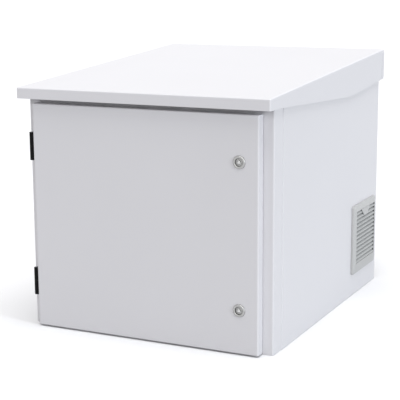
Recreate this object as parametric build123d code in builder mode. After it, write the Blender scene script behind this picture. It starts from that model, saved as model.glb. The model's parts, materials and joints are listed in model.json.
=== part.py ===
from build123d import *
import math
import os

# Outdoor equipment cabinet of folded sheet steel.
# Millimetres. X runs to the cabinet's right, Y from its door to its back, Z up.
# The origin is at the bottom centre of the whole cabinet, with its canopy.

# Body
body_width = 600.0
body_depth = 700.0
body_height = 540.0
sheet = 1.5
bend_radius = 3.0
collar_depth = 60.0
collar_showing = 47.0
tray_flange = 20.0

# Canopy
canopy_side_reach = 6.0
canopy_front_reach = 40.0
canopy_rear_reach = 20.0
canopy_lap = 13.0
canopy_front_drop = 24.6
canopy_slope = 3.8
skirt_level = 52.0
skirt_drop = 21.2
skirt_low_point = 452.0
drip_lip = 12.0
tab_width = 18.0
tab_sheet = 1.2
tab_inset = 4.0
canopy_rail_from_side = 100.0
canopy_rail_flange = 25.0
canopy_rail_inset = 30.0
canopy_bolt_inset = 90.0
canopy_bolt_radius = 3.0
canopy_bolt_clearance = 0.3
air_slot_length = 90.0
air_slot_width = 5.0
air_slot_pitch = 14.0
air_slots = 9

# Door and its opening
side_strip = 25.0
door_foot_gap = 2.6
door_head_gap = 11.0
door_depth = 25.4
door_gap = 1.0
door_lip = 12.0
gutter_inset = 20.0
gutter_height = 12.7
gutter_corner = 3.0
gasket_width = 12.0
gasket_gap = 0.3
stiffener_from_lock = 41.0
stiffener_width = 16.0
stiffener_depth = 15.0
stiffener_foot = 10.0
stiffener_inset = 40.0
stiffener_slots = 7
slot_length = 30.0
slot_width = 6.0

# Hinges
hinge_height = 63.5
hinge_upper_drop = 97.5
hinge_lower_rise = 102.4
hinge_out = 6.5
hinge_back = 6.4
knuckle_radius = 6.0
pin_radius = 3.0
pin_running_gap = 0.05
pin_end_cover = 4.0
washer_gap = 0.5
washer_thickness = 0.4
pad_length = 16.0
pad_thickness = 7.5
pad_screw_back = 11.2
hinge_chamfer = 0.8
body_screw_radius = 2.5
door_screw_radius = 2.0
hinge_screw_spread = 16.0
body_screw_depth = 9.0
door_screw_depth = 4.5
screw_hole_spare = 0.8
screw_hole_gap = 0.2

# Quarter-turn locks
lock_inset = 44.0
lock_upper_drop = 99.5
lock_lower_rise = 96.0
lock_flange_radius = 14.25
lock_flange_proud = 2.2
lock_flange_taper = 20.0
lock_thread_radius = 11.0
lock_thread_length = 14.0
lock_bore_radius = 9.0
lock_running_gap = 0.05
lock_well_depth = 3.2
lock_triangle_height = 8.0
lock_triangle_recess = 0.5
lock_collar_thickness = 2.0
lock_square = 8.0
lock_nut_flats = 27.0
lock_nut_thickness = 5.0
cam_length = 42.0
cam_width = 18.0
cam_thickness = 3.0
cam_clearance = 1.0
cam_screw_radius = 2.5
cam_screw_head = 6.5
cam_screw_depth = 9.0

# Nineteen-inch rack frame
rack_unit_height = 44.45
rack_foot_gap = 2.45
rack_opening = 450.0
rack_hole_spacing = 465.1
rack_hole_side = 9.5
rack_unit_holes = 3
rack_hole_rise = 6.35
rack_hole_pitch = 15.875
rail_sheet = 2.0
rail_flange = 25.0
rail_depth = 35.0
rail_overlength = 12.0
rail_front_setback = 60.0
rail_spacing = 420.0
channel_height = 25.0
channel_setback = 64.0
channel_rear_gap = 60.0
channel_slot_pitch = 50.0
rail_screw_radius = 3.0
rail_screw_inset = 22.0

# Cable entry in the base
gland_from_back = 140.0
gland_opening_x = 220.0
gland_opening_y = 120.0
gland_border = 15.0
gland_corner = 3.0
gland_gasket = 1.5
gland_sheet = 2.0
gland_stud_radius = 2.5
gland_stud_rise = 8.0
grommet_large = 16.0
grommet_small = 10.0
grommet_large_pitch = 64.0
grommet_small_pitch = 48.0
grommet_row_offset = 28.0
grommet_lip = 3.0
grommet_flange = 1.6
grommet_cone_foot = 0.7
grommet_cone_rise = 0.5
grommet_cone_taper = 25.0

# Filter vent and fan on the right side
vent_from_back = 112.0
vent_height = 142.0
vent_cutout = 124.0
vent_flange_side = 158.0
vent_flange_thickness = 1.5
vent_depth = 20.0
vent_wall = 2.0
vent_bar = 2.0
vent_fit_gap = 0.5
cover_side = 174.0
cover_proud = 9.0
cover_rim = 4.5
cover_stand_off = 0.5
cover_wall = 1.8
cover_corner = 6.0
louvre_side_border = 14.0
louvre_top_border = 14.0
louvre_bottom_border = 25.0
louvre_count = 13
louvre_frame = 1.5
louvre_thickness = 1.6
louvre_gap = 2.6
louvre_back_gap = 0.3
tab_top_width = 70.0
tab_foot_width = 22.0
tab_drop = 21.0
cover_axis_out = 2.5
cover_knuckle_radius = 2.0
cover_boss_radius = 1.8
cover_pin_radius = 1.0
cover_pin_length = 2.2
cover_boss_length = 5.0
ear_width = 6.0
ear_spread = 110.0
ear_gap = 0.3
filter_thickness = 12.0
filter_gap = 0.3
fan_side = 119.0
fan_depth = 38.0
fan_corner = 3.0
fan_duct_radius = 57.0
fan_duct_wall = 2.0
fan_strut = 4.0
fan_hole_spacing = 105.0
fan_hole_radius = 2.2
fan_plate = 4.0
fan_hub_radius = 31.0
fan_hub_depth = 12.0
fan_shaft_radius = 3.0
rotor_hub_radius = 29.0
rotor_depth = 20.0
rotor_gap = 1.5
blade_count = 7
blade_root_chord = 25.6
blade_tip_chord = 32.0
blade_thickness = 2.0
blade_root_pitch = 48.0
blade_tip_pitch = 28.0
guard_wire = 2.0
guard_rings = 4

# Fixings of the whole cabinet; the last four are shares of a thread's radius
wall_hole_radius = 4.5
wall_hole_inset = 70.0
base_hole_radius = 5.5
base_hole_from_side = 50.0
base_hole_from_end = 100.0
earth_stud_radius = 4.0
earth_stud_length = 24.0
earth_nut_flats = 13.0
earth_nut_thickness = 6.5
earth_from_side = 60.0
earth_from_front = 100.0
door_earth_up = 60.0
earth_flange_radius = 8.0
earth_chamfer = 0.7
pan_head_reach = 1.8
hexagon_reach = 1.9
hexagon_head_rise = 1.4
nut_rise = 1.6

# Worked-out places
half_width = body_width / 2
inner_half = half_width - sheet
folded_half = inner_half - sheet
body_front = canopy_front_reach - (canopy_front_reach + body_depth + canopy_rear_reach) / 2
body_back = body_front + body_depth
body_middle = (body_front + body_back) / 2
inner_back = body_back - sheet
collar_back = body_front + collar_depth
wrap_front = body_front + collar_showing
inner_radius = bend_radius - sheet

canopy_half = half_width + canopy_side_reach
skirt_inner = canopy_half - sheet
canopy_front = body_front - canopy_front_reach
canopy_back = body_back + canopy_rear_reach
drip_z = body_height - canopy_lap
slope = math.tan(math.radians(canopy_slope))
roof_sheet_z = sheet / math.cos(math.radians(canopy_slope))

door_half = half_width - side_strip
door_bottom = door_foot_gap
door_top = drip_z - door_head_gap
door_back = body_front - door_gap
door_front = door_back - door_depth
door_skin = door_front + sheet
gutter_half = door_half - gutter_inset
gutter_bottom = door_bottom + gutter_inset
gutter_top = door_top - gutter_inset
gutter_tip = body_front - gutter_height
gasket_inset = gutter_inset + sheet / 2 - gasket_width / 2
gasket_back = gutter_tip - gasket_gap

hinge_x = -door_half - hinge_out
hinge_y = door_front + hinge_back
hinge_upper_z = door_top - hinge_upper_drop
hinge_lower_z = door_bottom + hinge_lower_rise
pad_screw_y = hinge_y + pad_screw_back

lock_x = door_half - lock_inset
stiffener_x = lock_x - stiffener_from_lock
lock_upper_z = door_top - lock_upper_drop
lock_lower_z = door_bottom + lock_lower_rise
lock_front = door_front - lock_flange_proud
lock_back = door_front + lock_thread_length
cam_front = body_front + sheet + cam_clearance
cam_back = cam_front + cam_thickness

rack_bottom = gutter_bottom + rack_foot_gap + rail_overlength
rack_units = math.floor((gutter_top - rail_overlength - rack_bottom) / rack_unit_height)
rack_height = rack_units * rack_unit_height
rail_bottom = rack_bottom - rail_overlength
rail_top = rack_bottom + rack_height + rail_overlength
rail_inner = rack_opening / 2
rail_outer = rail_inner + rail_flange
rail_front_y = body_front + rail_front_setback
rail_rear_y = rail_front_y + rail_spacing
channel_front = body_front + channel_setback
channel_back = inner_back - channel_rear_gap
channel_slot_run = rail_spacing - 2 * rail_screw_inset - 2 * slot_length
channel_slots = math.floor(channel_slot_run / channel_slot_pitch)

gland_y = body_back - gland_from_back
gland_plate_z = sheet + gland_gasket
gland_plate_x = gland_opening_x + 2 * gland_border
gland_plate_y = gland_opening_y + 2 * gland_border
gland_stud_top = gland_plate_z + gland_sheet + gland_stud_rise
gland_stud_x = gland_plate_x / 2 - gland_border / 2
gland_stud_y = gland_plate_y - gland_border

vent_y = body_back - vent_from_back
vent_bottom = vent_height - cover_side / 2
vent_inner = half_width - vent_depth
cover_axis_x = half_width + cover_axis_out
cover_axis_z = vent_bottom + cover_knuckle_radius
rotor_radius = fan_duct_radius - rotor_gap

canopy_rail_x = half_width - canopy_rail_from_side
canopy_bolt_x = canopy_rail_x + canopy_rail_flange / 2
canopy_bolt_y = body_depth / 2 - canopy_bolt_inset
canopy_bolt_places = [
    (side * canopy_bolt_x, body_middle + end * canopy_bolt_y) for side in (-1, 1) for end in (-1, 1)
]

earth_x = -half_width + earth_from_side
earth_y = body_front + earth_from_front
wall_hole_x = body_width - 2 * wall_hole_inset
wall_hole_z = body_height - 2 * wall_hole_inset
base_hole_x = body_width - 2 * base_hole_from_side
base_hole_y = body_depth - 2 * base_hole_from_end


def front_plane(y):
    """Upright plane facing the front: sketch X is X, sketch Y is Z, and it extrudes towards -Y."""
    return Plane.XZ.offset(-y)


def side_plane(x):
    """Upright plane facing right: sketch X is Y, sketch Y is Z, and it extrudes towards +X."""
    return Plane.YZ.offset(x)


def rectangle_between(u_low, u_high, v_low, v_high, mode=Mode.ADD):
    """Rectangle from its two corners, in the sketch that is open."""
    with Locations(((u_low + u_high) / 2, (v_low + v_high) / 2)):
        Rectangle(u_high - u_low, v_high - v_low, mode=mode)


def roof_under(y):
    """Height of the canopy's underside at a depth."""
    return drip_z + canopy_front_drop + (y - canopy_front) * slope - roof_sheet_z


def write(part, label):
    part.label = label
    export_step(part, f"parts/{label}.step")


os.makedirs("parts", exist_ok=True)


# Body wrap: left side, back and right side folded from one sheet

with BuildPart() as body_wrap:
    with BuildSketch(Plane.XY) as outside:
        rectangle_between(-half_width, half_width, wrap_front, body_back)
        fillet(outside.vertices().group_by(Axis.Y)[-1], bend_radius)
    extrude(amount=body_height)
    with BuildSketch(Plane.XY) as inside:
        rectangle_between(-inner_half, inner_half, wrap_front, inner_back)
        fillet(inside.vertices().group_by(Axis.Y)[-1], inner_radius)
    extrude(amount=body_height, mode=Mode.SUBTRACT)
    with BuildSketch(side_plane(half_width)):
        with Locations((vent_y, vent_height)):
            RectangleRounded(vent_cutout, vent_cutout, inner_radius)
    extrude(amount=-2 * sheet, mode=Mode.SUBTRACT)
    with BuildSketch(front_plane(body_back)):
        with Locations((0, body_height / 2)):
            with GridLocations(wall_hole_x, wall_hole_z, 2, 2):
                Circle(wall_hole_radius)
    extrude(amount=2 * sheet, mode=Mode.SUBTRACT)
write(body_wrap.part, "body_wrap")


# Front frame: face with side returns, upper and lower returns, and the rain gutter's lip

with BuildPart() as front_frame:
    with BuildSketch(Plane.XY) as outside:
        rectangle_between(-inner_half, inner_half, body_front, collar_back)
        fillet(outside.vertices().group_by(Axis.Y)[0], bend_radius)
    extrude(amount=body_height)
    with BuildSketch(Plane.XY) as inside:
        rectangle_between(-folded_half, folded_half, body_front + sheet, collar_back)
        fillet(inside.vertices().group_by(Axis.Y)[0], inner_radius)
    extrude(amount=body_height, mode=Mode.SUBTRACT)
    with BuildSketch(Plane.XY.offset(sheet)):
        rectangle_between(-folded_half, folded_half, body_front + bend_radius, collar_back)
        rectangle_between(-gutter_half, gutter_half, body_front + sheet, collar_back)
    extrude(amount=sheet)
    mirror(about=Plane.XY.offset(body_height / 2))
    with BuildSketch(front_plane(body_front + sheet)) as gutter:
        rectangle_between(-gutter_half, gutter_half, gutter_bottom, gutter_top)
        fillet(gutter.vertices(), gutter_corner)
    extrude(amount=gutter_height + sheet)
    with BuildSketch(front_plane(body_front + sheet)) as opening:
        rectangle_between(
            -gutter_half + sheet, gutter_half - sheet, gutter_bottom + sheet, gutter_top - sheet
        )
        fillet(opening.vertices(), gutter_corner - sheet)
    extrude(amount=gutter_height + sheet, mode=Mode.SUBTRACT)
    with BuildSketch(front_plane(body_front)):
        for hinge_z in (hinge_upper_z, hinge_lower_z):
            with Locations((hinge_x, hinge_z - hinge_height / 4)):
                with GridLocations(0, hinge_screw_spread, 1, 2):
                    Circle(body_screw_radius + screw_hole_gap)
    extrude(amount=-sheet, mode=Mode.SUBTRACT)
write(front_frame.part, "front_frame")


# Trays that close the body: a plate with folded flanges at its sides and back

def folded_tray():
    with BuildPart() as tray:
        with BuildSketch(Plane.XY) as outline:
            rectangle_between(-inner_half, inner_half, collar_back, inner_back)
            fillet(outline.vertices().group_by(Axis.Y)[-1], bend_radius)
        extrude(amount=tray_flange)
        with BuildSketch(Plane.XY.offset(sheet)) as hollow:
            rectangle_between(-folded_half, folded_half, collar_back, inner_back - sheet)
            fillet(hollow.vertices().group_by(Axis.Y)[-1], inner_radius)
        extrude(amount=tray_flange, mode=Mode.SUBTRACT)
        with BuildSketch(Plane.XY):
            rectangle_between(-folded_half, folded_half, body_front + bend_radius, collar_back)
            rectangle_between(-gutter_half, gutter_half, body_front + sheet, collar_back)
        extrude(amount=sheet)
    return tray.part


blank_tray = folded_tray()

with BuildPart() as base_pan:
    add(blank_tray)
    with BuildSketch(Plane.XY):
        with Locations((0, gland_y)):
            RectangleRounded(gland_opening_x, gland_opening_y, gland_corner)
        with Locations((0, body_middle)):
            with GridLocations(base_hole_x, base_hole_y, 2, 2):
                Circle(base_hole_radius)
    extrude(amount=sheet, mode=Mode.SUBTRACT)
    with BuildSketch(Plane.XY.offset(sheet / 2)):
        with Locations((0, gland_y)):
            with GridLocations(gland_stud_x, gland_stud_y, 3, 2):
                Circle(gland_stud_radius)
    extrude(amount=gland_stud_top - sheet / 2)
write(base_pan.part, "base_pan")

with BuildPart() as top_panel:
    add(blank_tray.mirror(Plane.XY.offset(body_height / 2)))
    with BuildSketch(Plane.XY.offset(body_height)):
        with Locations(*canopy_bolt_places):
            Circle(canopy_bolt_radius + canopy_bolt_clearance)
        with Locations((0, body_middle)):
            with GridLocations(canopy_rail_x, air_slot_pitch, 2, air_slots):
                SlotOverall(air_slot_length, air_slot_width)
    extrude(amount=-sheet, mode=Mode.SUBTRACT)
write(top_panel.part, "top_panel")


# Canopy: sloped roof with its folded flanges, the side skirts and the corner tabs at the rear

with BuildPart() as canopy:
    with BuildSketch(side_plane(0)):
        with BuildLine():
            Polyline(
                (canopy_front, drip_z),
                (canopy_front + skirt_level, drip_z),
                (body_front + skirt_low_point, drip_z - skirt_drop),
                (canopy_back, drip_z),
                (canopy_back, roof_under(canopy_back) + roof_sheet_z),
                (canopy_front, roof_under(canopy_front) + roof_sheet_z),
                close=True,
            )
        make_face()
    extrude(amount=canopy_half, both=True)
    fillet(canopy.edges().filter_by(Axis.Z), bend_radius)
    fillet(canopy.faces().sort_by(Axis.Z)[-1].edges(), bend_radius)
    with BuildSketch(side_plane(0)):
        with BuildLine():
            Polyline(
                (canopy_front + sheet, drip_z - 2 * skirt_drop),
                (canopy_back - sheet, drip_z - 2 * skirt_drop),
                (canopy_back - sheet, roof_under(canopy_back - sheet)),
                (canopy_front + sheet, roof_under(canopy_front + sheet)),
                close=True,
            )
        make_face()
    extrude(amount=skirt_inner, both=True, mode=Mode.SUBTRACT)
    with BuildSketch(Plane.XY.offset(drip_z)):
        rectangle_between(-skirt_inner, skirt_inner, canopy_front + sheet, canopy_front + drip_lip)
        rectangle_between(-skirt_inner, skirt_inner, canopy_back - drip_lip, canopy_back - sheet)
    extrude(amount=sheet)
    for side in (-1, 1):
        with BuildSketch(side_plane(side * canopy_half)) as tab:
            rectangle_between(
                canopy_back - tab_width,
                canopy_back - bend_radius,
                drip_z + tab_inset,
                roof_under(canopy_back - tab_width) - tab_inset,
            )
            fillet(tab.vertices(), tab_inset)
        extrude(amount=side * tab_sheet)
write(canopy.part, "canopy")


# Canopy rails: tapered channels that hold the roof's slope above the top panel

def canopy_rail(label, side):
    rail_front = body_front + canopy_rail_inset
    rail_back = body_back - canopy_rail_inset
    with BuildPart() as rail:
        with BuildSketch(side_plane(side * canopy_rail_x)):
            with BuildLine():
                Polyline(
                    (rail_front, body_height),
                    (rail_back, body_height),
                    (rail_back, roof_under(rail_back)),
                    (rail_front, roof_under(rail_front)),
                    close=True,
                )
            make_face()
        extrude(amount=side * canopy_rail_flange)
        with BuildSketch(side_plane(side * (canopy_rail_x + sheet))):
            with BuildLine():
                Polyline(
                    (rail_front, body_height + sheet),
                    (rail_back, body_height + sheet),
                    (rail_back, roof_under(rail_back) - roof_sheet_z),
                    (rail_front, roof_under(rail_front) - roof_sheet_z),
                    close=True,
                )
            make_face()
        extrude(amount=side * canopy_rail_flange, mode=Mode.SUBTRACT)
        with BuildSketch(Plane.XY.offset(body_height)):
            with Locations((side * canopy_bolt_x, body_middle)):
                with GridLocations(0, 2 * canopy_bolt_y, 1, 2):
                    Circle(canopy_bolt_radius + canopy_bolt_clearance)
        extrude(amount=sheet, mode=Mode.SUBTRACT)
    write(rail.part, label)


canopy_rail("canopy_rail_left", -1)
canopy_rail("canopy_rail_right", 1)

with BuildPart() as canopy_bolts:
    with BuildSketch(Plane.XY.offset(body_height - sheet)):
        with Locations(*canopy_bolt_places):
            RegularPolygon(canopy_bolt_radius * hexagon_reach, 6)
    extrude(amount=-canopy_bolt_radius * hexagon_head_rise)
    with BuildSketch(Plane.XY.offset(body_height - sheet)):
        with Locations(*canopy_bolt_places):
            Circle(canopy_bolt_radius)
    extrude(amount=3 * sheet + canopy_bolt_radius * nut_rise)
write(canopy_bolts.part, "canopy_bolts")

with BuildPart() as canopy_nuts:
    with BuildSketch(Plane.XY.offset(body_height + sheet)):
        with Locations(*canopy_bolt_places):
            RegularPolygon(canopy_bolt_radius * hexagon_reach, 6)
            Circle(canopy_bolt_radius, mode=Mode.SUBTRACT)
    extrude(amount=canopy_bolt_radius * nut_rise)
write(canopy_nuts.part, "canopy_nuts")


# Door: pan folded from one sheet, with inward lips at the back of its returns

with BuildPart() as door_panel:
    with BuildSketch(front_plane(door_back)):
        rectangle_between(-door_half, door_half, door_bottom, door_top)
    extrude(amount=door_depth)
    fillet(door_panel.edges().filter_by(Axis.Y), sheet)
    fillet(door_panel.faces().sort_by(Axis.Y)[0].edges(), bend_radius)
    fillet(door_panel.faces().sort_by(Axis.Y)[-1].edges(), bend_radius)
    with BuildSketch(front_plane(door_back - sheet)):
        rectangle_between(-door_half + sheet, door_half - sheet, door_bottom + sheet, door_top - sheet)
    extrude(amount=door_depth - 2 * sheet, mode=Mode.SUBTRACT)
    with BuildSketch(front_plane(door_back)):
        rectangle_between(
            -door_half + door_lip, door_half - door_lip, door_bottom + door_lip, door_top - door_lip
        )
    extrude(amount=sheet, mode=Mode.SUBTRACT)
    with BuildSketch(front_plane(door_front)):
        with Locations((lock_x, lock_upper_z), (lock_x, lock_lower_z)):
            Circle(lock_thread_radius + screw_hole_gap)
    extrude(amount=-sheet, mode=Mode.SUBTRACT)
    with BuildSketch(side_plane(-door_half)):
        for hinge_z in (hinge_upper_z, hinge_lower_z):
            with Locations((pad_screw_y, hinge_z + hinge_height / 4)):
                with GridLocations(0, hinge_screw_spread, 1, 2):
                    Circle(door_screw_radius + screw_hole_gap)
    extrude(amount=sheet, mode=Mode.SUBTRACT)
write(door_panel.part, "door_panel")

with BuildPart() as door_gasket:
    with BuildSketch(front_plane(gasket_back)) as ring:
        rectangle_between(
            -door_half + gasket_inset,
            door_half - gasket_inset,
            door_bottom + gasket_inset,
            door_top - gasket_inset,
        )
        fillet(ring.vertices(), gasket_width)
        rectangle_between(
            -door_half + gasket_inset + gasket_width,
            door_half - gasket_inset - gasket_width,
            door_bottom + gasket_inset + gasket_width,
            door_top - gasket_inset - gasket_width,
            mode=Mode.SUBTRACT,
        )
    extrude(amount=gasket_back - door_skin)
write(door_gasket.part, "door_gasket")


def door_stiffener(label, side):
    """Hat section up the inside of the door, slotted for its cable ties."""
    middle = side * stiffener_x
    reach = stiffener_width / 2
    with BuildPart() as stiffener:
        with BuildSketch(Plane.XY.offset(door_bottom + stiffener_inset)):
            rectangle_between(middle - reach, middle + reach, door_skin, door_skin + stiffener_depth)
            rectangle_between(
                middle - reach - stiffener_foot,
                middle + reach + stiffener_foot,
                door_skin,
                door_skin + sheet,
            )
            rectangle_between(
                middle - reach + sheet,
                middle + reach - sheet,
                door_skin,
                door_skin + stiffener_depth - sheet,
                mode=Mode.SUBTRACT,
            )
        extrude(amount=door_top - door_bottom - 2 * stiffener_inset)
        with BuildSketch(front_plane(door_skin + stiffener_depth)):
            with Locations((middle, (door_bottom + door_top) / 2)):
                with GridLocations(0, slot_length * 2, 1, stiffener_slots):
                    SlotOverall(slot_length, slot_width, rotation=90)
        extrude(amount=sheet, mode=Mode.SUBTRACT)
    write(stiffener.part, label)


door_stiffener("door_stiffener_left", -1)
door_stiffener("door_stiffener_right", 1)


# Hinges: the lower half stands on the front frame, the upper half is on the door's left return

def hinge(name, hinge_z):
    foot_z = hinge_z - hinge_height / 2
    half_height = (hinge_height - washer_gap) / 2
    door_foot_z = foot_z + half_height + washer_gap
    pin_foot = foot_z + pin_end_cover
    pin_head = foot_z + hinge_height - pin_end_cover

    with BuildPart() as body_half:
        with BuildSketch(Plane.XY.offset(foot_z)):
            with Locations((hinge_x, hinge_y)):
                Circle(knuckle_radius)
            rectangle_between(hinge_x - knuckle_radius, hinge_x + knuckle_radius, hinge_y, body_front)
        extrude(amount=half_height)
        with BuildSketch(Plane.XY.offset(pin_foot)):
            with Locations((hinge_x, hinge_y)):
                Circle(pin_radius)
        extrude(amount=half_height, mode=Mode.SUBTRACT)
        with BuildSketch(front_plane(body_front)):
            with Locations((hinge_x, hinge_z - hinge_height / 4)):
                with GridLocations(0, hinge_screw_spread, 1, 2):
                    Circle(body_screw_radius)
        extrude(amount=body_screw_depth + screw_hole_spare, mode=Mode.SUBTRACT)
        chamfer(body_half.faces().sort_by(Axis.Z)[0].edges(), hinge_chamfer)
    write(body_half.part, f"{name}_body_half")

    with BuildPart() as door_half_leaf:
        with BuildSketch(Plane.XY.offset(door_foot_z)):
            with Locations((hinge_x, hinge_y)):
                Circle(knuckle_radius)
            rectangle_between(hinge_x, -door_half, hinge_y - knuckle_radius, hinge_y)
            rectangle_between(-door_half - pad_thickness, -door_half, hinge_y, hinge_y + pad_length)
        extrude(amount=half_height)
        with BuildSketch(Plane.XY.offset(door_foot_z)):
            with Locations((hinge_x, hinge_y)):
                Circle(pin_radius + pin_running_gap)
        extrude(amount=pin_head - door_foot_z + pin_running_gap, mode=Mode.SUBTRACT)
        with BuildSketch(side_plane(-door_half)):
            with Locations((pad_screw_y, hinge_z + hinge_height / 4)):
                with GridLocations(0, hinge_screw_spread, 1, 2):
                    Circle(door_screw_radius)
        extrude(amount=-door_screw_depth - screw_hole_spare, mode=Mode.SUBTRACT)
        chamfer(door_half_leaf.faces().sort_by(Axis.Z)[-1].edges(), hinge_chamfer)
    write(door_half_leaf.part, f"{name}_door_half")

    with BuildPart() as pin:
        with BuildSketch(Plane.XY.offset(pin_foot)):
            with Locations((hinge_x, hinge_y)):
                Circle(pin_radius)
        extrude(amount=pin_head - pin_foot)
    write(pin.part, f"{name}_pin")


hinge("upper_hinge", hinge_upper_z)
hinge("lower_hinge", hinge_lower_z)

with BuildPart() as hinge_washers:
    for hinge_z in (hinge_upper_z, hinge_lower_z):
        with BuildSketch(Plane.XY.offset(hinge_z - washer_gap / 2)):
            with Locations((hinge_x, hinge_y)):
                Circle(knuckle_radius)
                Circle(pin_radius + pin_running_gap, mode=Mode.SUBTRACT)
        extrude(amount=washer_thickness)
write(hinge_washers.part, "hinge_washers")

with BuildPart() as hinge_body_screws:
    for hinge_z in (hinge_upper_z, hinge_lower_z):
        with BuildSketch(front_plane(body_front + sheet)):
            with Locations((hinge_x, hinge_z - hinge_height / 4)):
                with GridLocations(0, hinge_screw_spread, 1, 2):
                    Circle(body_screw_radius)
        extrude(amount=sheet + body_screw_depth)
        with BuildSketch(front_plane(body_front + sheet)):
            with Locations((hinge_x, hinge_z - hinge_height / 4)):
                with GridLocations(0, hinge_screw_spread, 1, 2):
                    Circle(body_screw_radius * pan_head_reach)
        extrude(amount=-body_screw_radius)
write(hinge_body_screws.part, "hinge_body_screws")

with BuildPart() as hinge_door_screws:
    for hinge_z in (hinge_upper_z, hinge_lower_z):
        with BuildSketch(side_plane(-door_half + sheet)):
            with Locations((pad_screw_y, hinge_z + hinge_height / 4)):
                with GridLocations(0, hinge_screw_spread, 1, 2):
                    Circle(door_screw_radius)
        extrude(amount=-sheet - door_screw_depth)
        with BuildSketch(side_plane(-door_half + sheet)):
            with Locations((pad_screw_y, hinge_z + hinge_height / 4)):
                with GridLocations(0, hinge_screw_spread, 1, 2):
                    Circle(door_screw_radius * pan_head_reach)
        extrude(amount=door_screw_radius)
write(hinge_door_screws.part, "hinge_door_screws")


# Quarter-turn locks: at rest the cam hangs down, unlocked, and it turns up behind the frame

def lock(name, lock_z):
    housing_plane = front_plane(lock_front)
    well_face = lock_front + lock_well_depth

    with BuildPart() as housing:
        with BuildSketch(front_plane(door_front)):
            with Locations((lock_x, lock_z)):
                Circle(lock_flange_radius)
        extrude(amount=lock_flange_proud, taper=lock_flange_taper)
        with BuildSketch(housing_plane):
            with Locations((lock_x, lock_z)):
                Circle(lock_thread_radius)
        extrude(amount=-(lock_back - lock_front))
        with BuildSketch(housing_plane):
            with Locations((lock_x, lock_z)):
                Circle(lock_bore_radius)
        extrude(amount=-(lock_back - lock_front), mode=Mode.SUBTRACT)
    write(housing.part, f"{name}_housing")

    with BuildPart() as nut:
        with BuildSketch(front_plane(door_skin)):
            with Locations((lock_x, lock_z)):
                RegularPolygon(lock_nut_flats / 2, 6, major_radius=False)
                Circle(lock_thread_radius, mode=Mode.SUBTRACT)
        extrude(amount=-lock_nut_thickness)
    write(nut.part, f"{name}_nut")

    with BuildPart() as spindle:
        with BuildSketch(front_plane(well_face)):
            with Locations((lock_x, lock_z)):
                Circle(lock_bore_radius - lock_running_gap)
        extrude(amount=-(lock_back - well_face))
        with BuildSketch(front_plane(well_face)):
            with Locations((lock_x, lock_z)):
                RegularPolygon(lock_triangle_height * 2 / 3, 3, rotation=90)
        extrude(amount=lock_well_depth - lock_triangle_recess)
        with BuildSketch(front_plane(lock_back + lock_running_gap)):
            with Locations((lock_x, lock_z)):
                Circle(lock_thread_radius)
        extrude(amount=-lock_collar_thickness)
        with BuildSketch(front_plane(lock_back)):
            with Locations((lock_x, lock_z)):
                Rectangle(lock_square, lock_square)
        extrude(amount=-(cam_back - lock_back))
        with BuildSketch(front_plane(cam_back)):
            with Locations((lock_x, lock_z)):
                Circle(cam_screw_radius)
        extrude(amount=cam_screw_depth + screw_hole_spare, mode=Mode.SUBTRACT)
    write(spindle.part, f"{name}_spindle")

    cam_half = cam_width / 2
    with BuildPart() as cam:
        with BuildSketch(front_plane(cam_back)) as blade:
            with Locations((lock_x, lock_z)):
                Circle(cam_half)
            rectangle_between(lock_x - cam_half, lock_x + cam_half, lock_z - cam_length, lock_z)
            fillet(blade.vertices().group_by(Axis.Y)[0], cam_half / 2)
            with Locations((lock_x, lock_z)):
                Rectangle(lock_square, lock_square, mode=Mode.SUBTRACT)
        extrude(amount=cam_thickness)
    write(cam.part, f"{name}_cam")

    with BuildPart() as screw:
        with BuildSketch(front_plane(cam_back)):
            with Locations((lock_x, lock_z)):
                Circle(cam_screw_radius)
        extrude(amount=cam_screw_depth)
        with BuildSketch(front_plane(cam_back)):
            with Locations((lock_x, lock_z)):
                RegularPolygon(cam_screw_head, 6)
        extrude(amount=-cam_screw_radius * hexagon_head_rise)
    write(screw.part, f"{name}_cam_screw")


lock("upper_lock", lock_upper_z)
lock("lower_lock", lock_lower_z)


# Rack rails: angles with three square holes to each rack unit

def rack_rail(label, side, face_y, back):
    """An angle whose drilled flange faces away from the middle; back is +1 if its leg runs rearwards."""
    with BuildPart() as rail:
        with BuildSketch(Plane.XY.offset(rail_bottom)):
            inner = side * rail_inner
            outer = side * rail_outer
            leg = side * (rail_outer - rail_sheet)
            flange_y = sorted((face_y, face_y + back * rail_sheet))
            leg_y = sorted((face_y, face_y + back * rail_depth))
            rectangle_between(min(inner, outer), max(inner, outer), *flange_y)
            rectangle_between(min(leg, outer), max(leg, outer), *leg_y)
        extrude(amount=rail_top - rail_bottom)
        with BuildSketch(front_plane(face_y)):
            for unit in range(rack_units):
                for hole in range(rack_unit_holes):
                    rise = rack_hole_rise + hole * rack_hole_pitch
                    hole_z = rack_bottom + unit * rack_unit_height + rise
                    with Locations((side * rack_hole_spacing / 2, hole_z)):
                        Rectangle(rack_hole_side, rack_hole_side)
        extrude(amount=-back * rail_sheet, mode=Mode.SUBTRACT)
        with BuildSketch(side_plane(side * rail_outer)):
            for screw_z in (rail_bottom + channel_height / 2, rail_top - channel_height / 2):
                with Locations((face_y + back * rail_screw_inset, screw_z)):
                    Circle(rail_screw_radius + screw_hole_gap)
        extrude(amount=-side * rail_sheet, mode=Mode.SUBTRACT)
    write(rail.part, label)


rack_rail("rack_rail_front_left", -1, rail_front_y, 1)
rack_rail("rack_rail_front_right", 1, rail_front_y, 1)
rack_rail("rack_rail_rear_left", -1, rail_rear_y, -1)
rack_rail("rack_rail_rear_right", 1, rail_rear_y, -1)


# Depth channels: from the body's sides to the rails, slotted so that the rails can be set back

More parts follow.
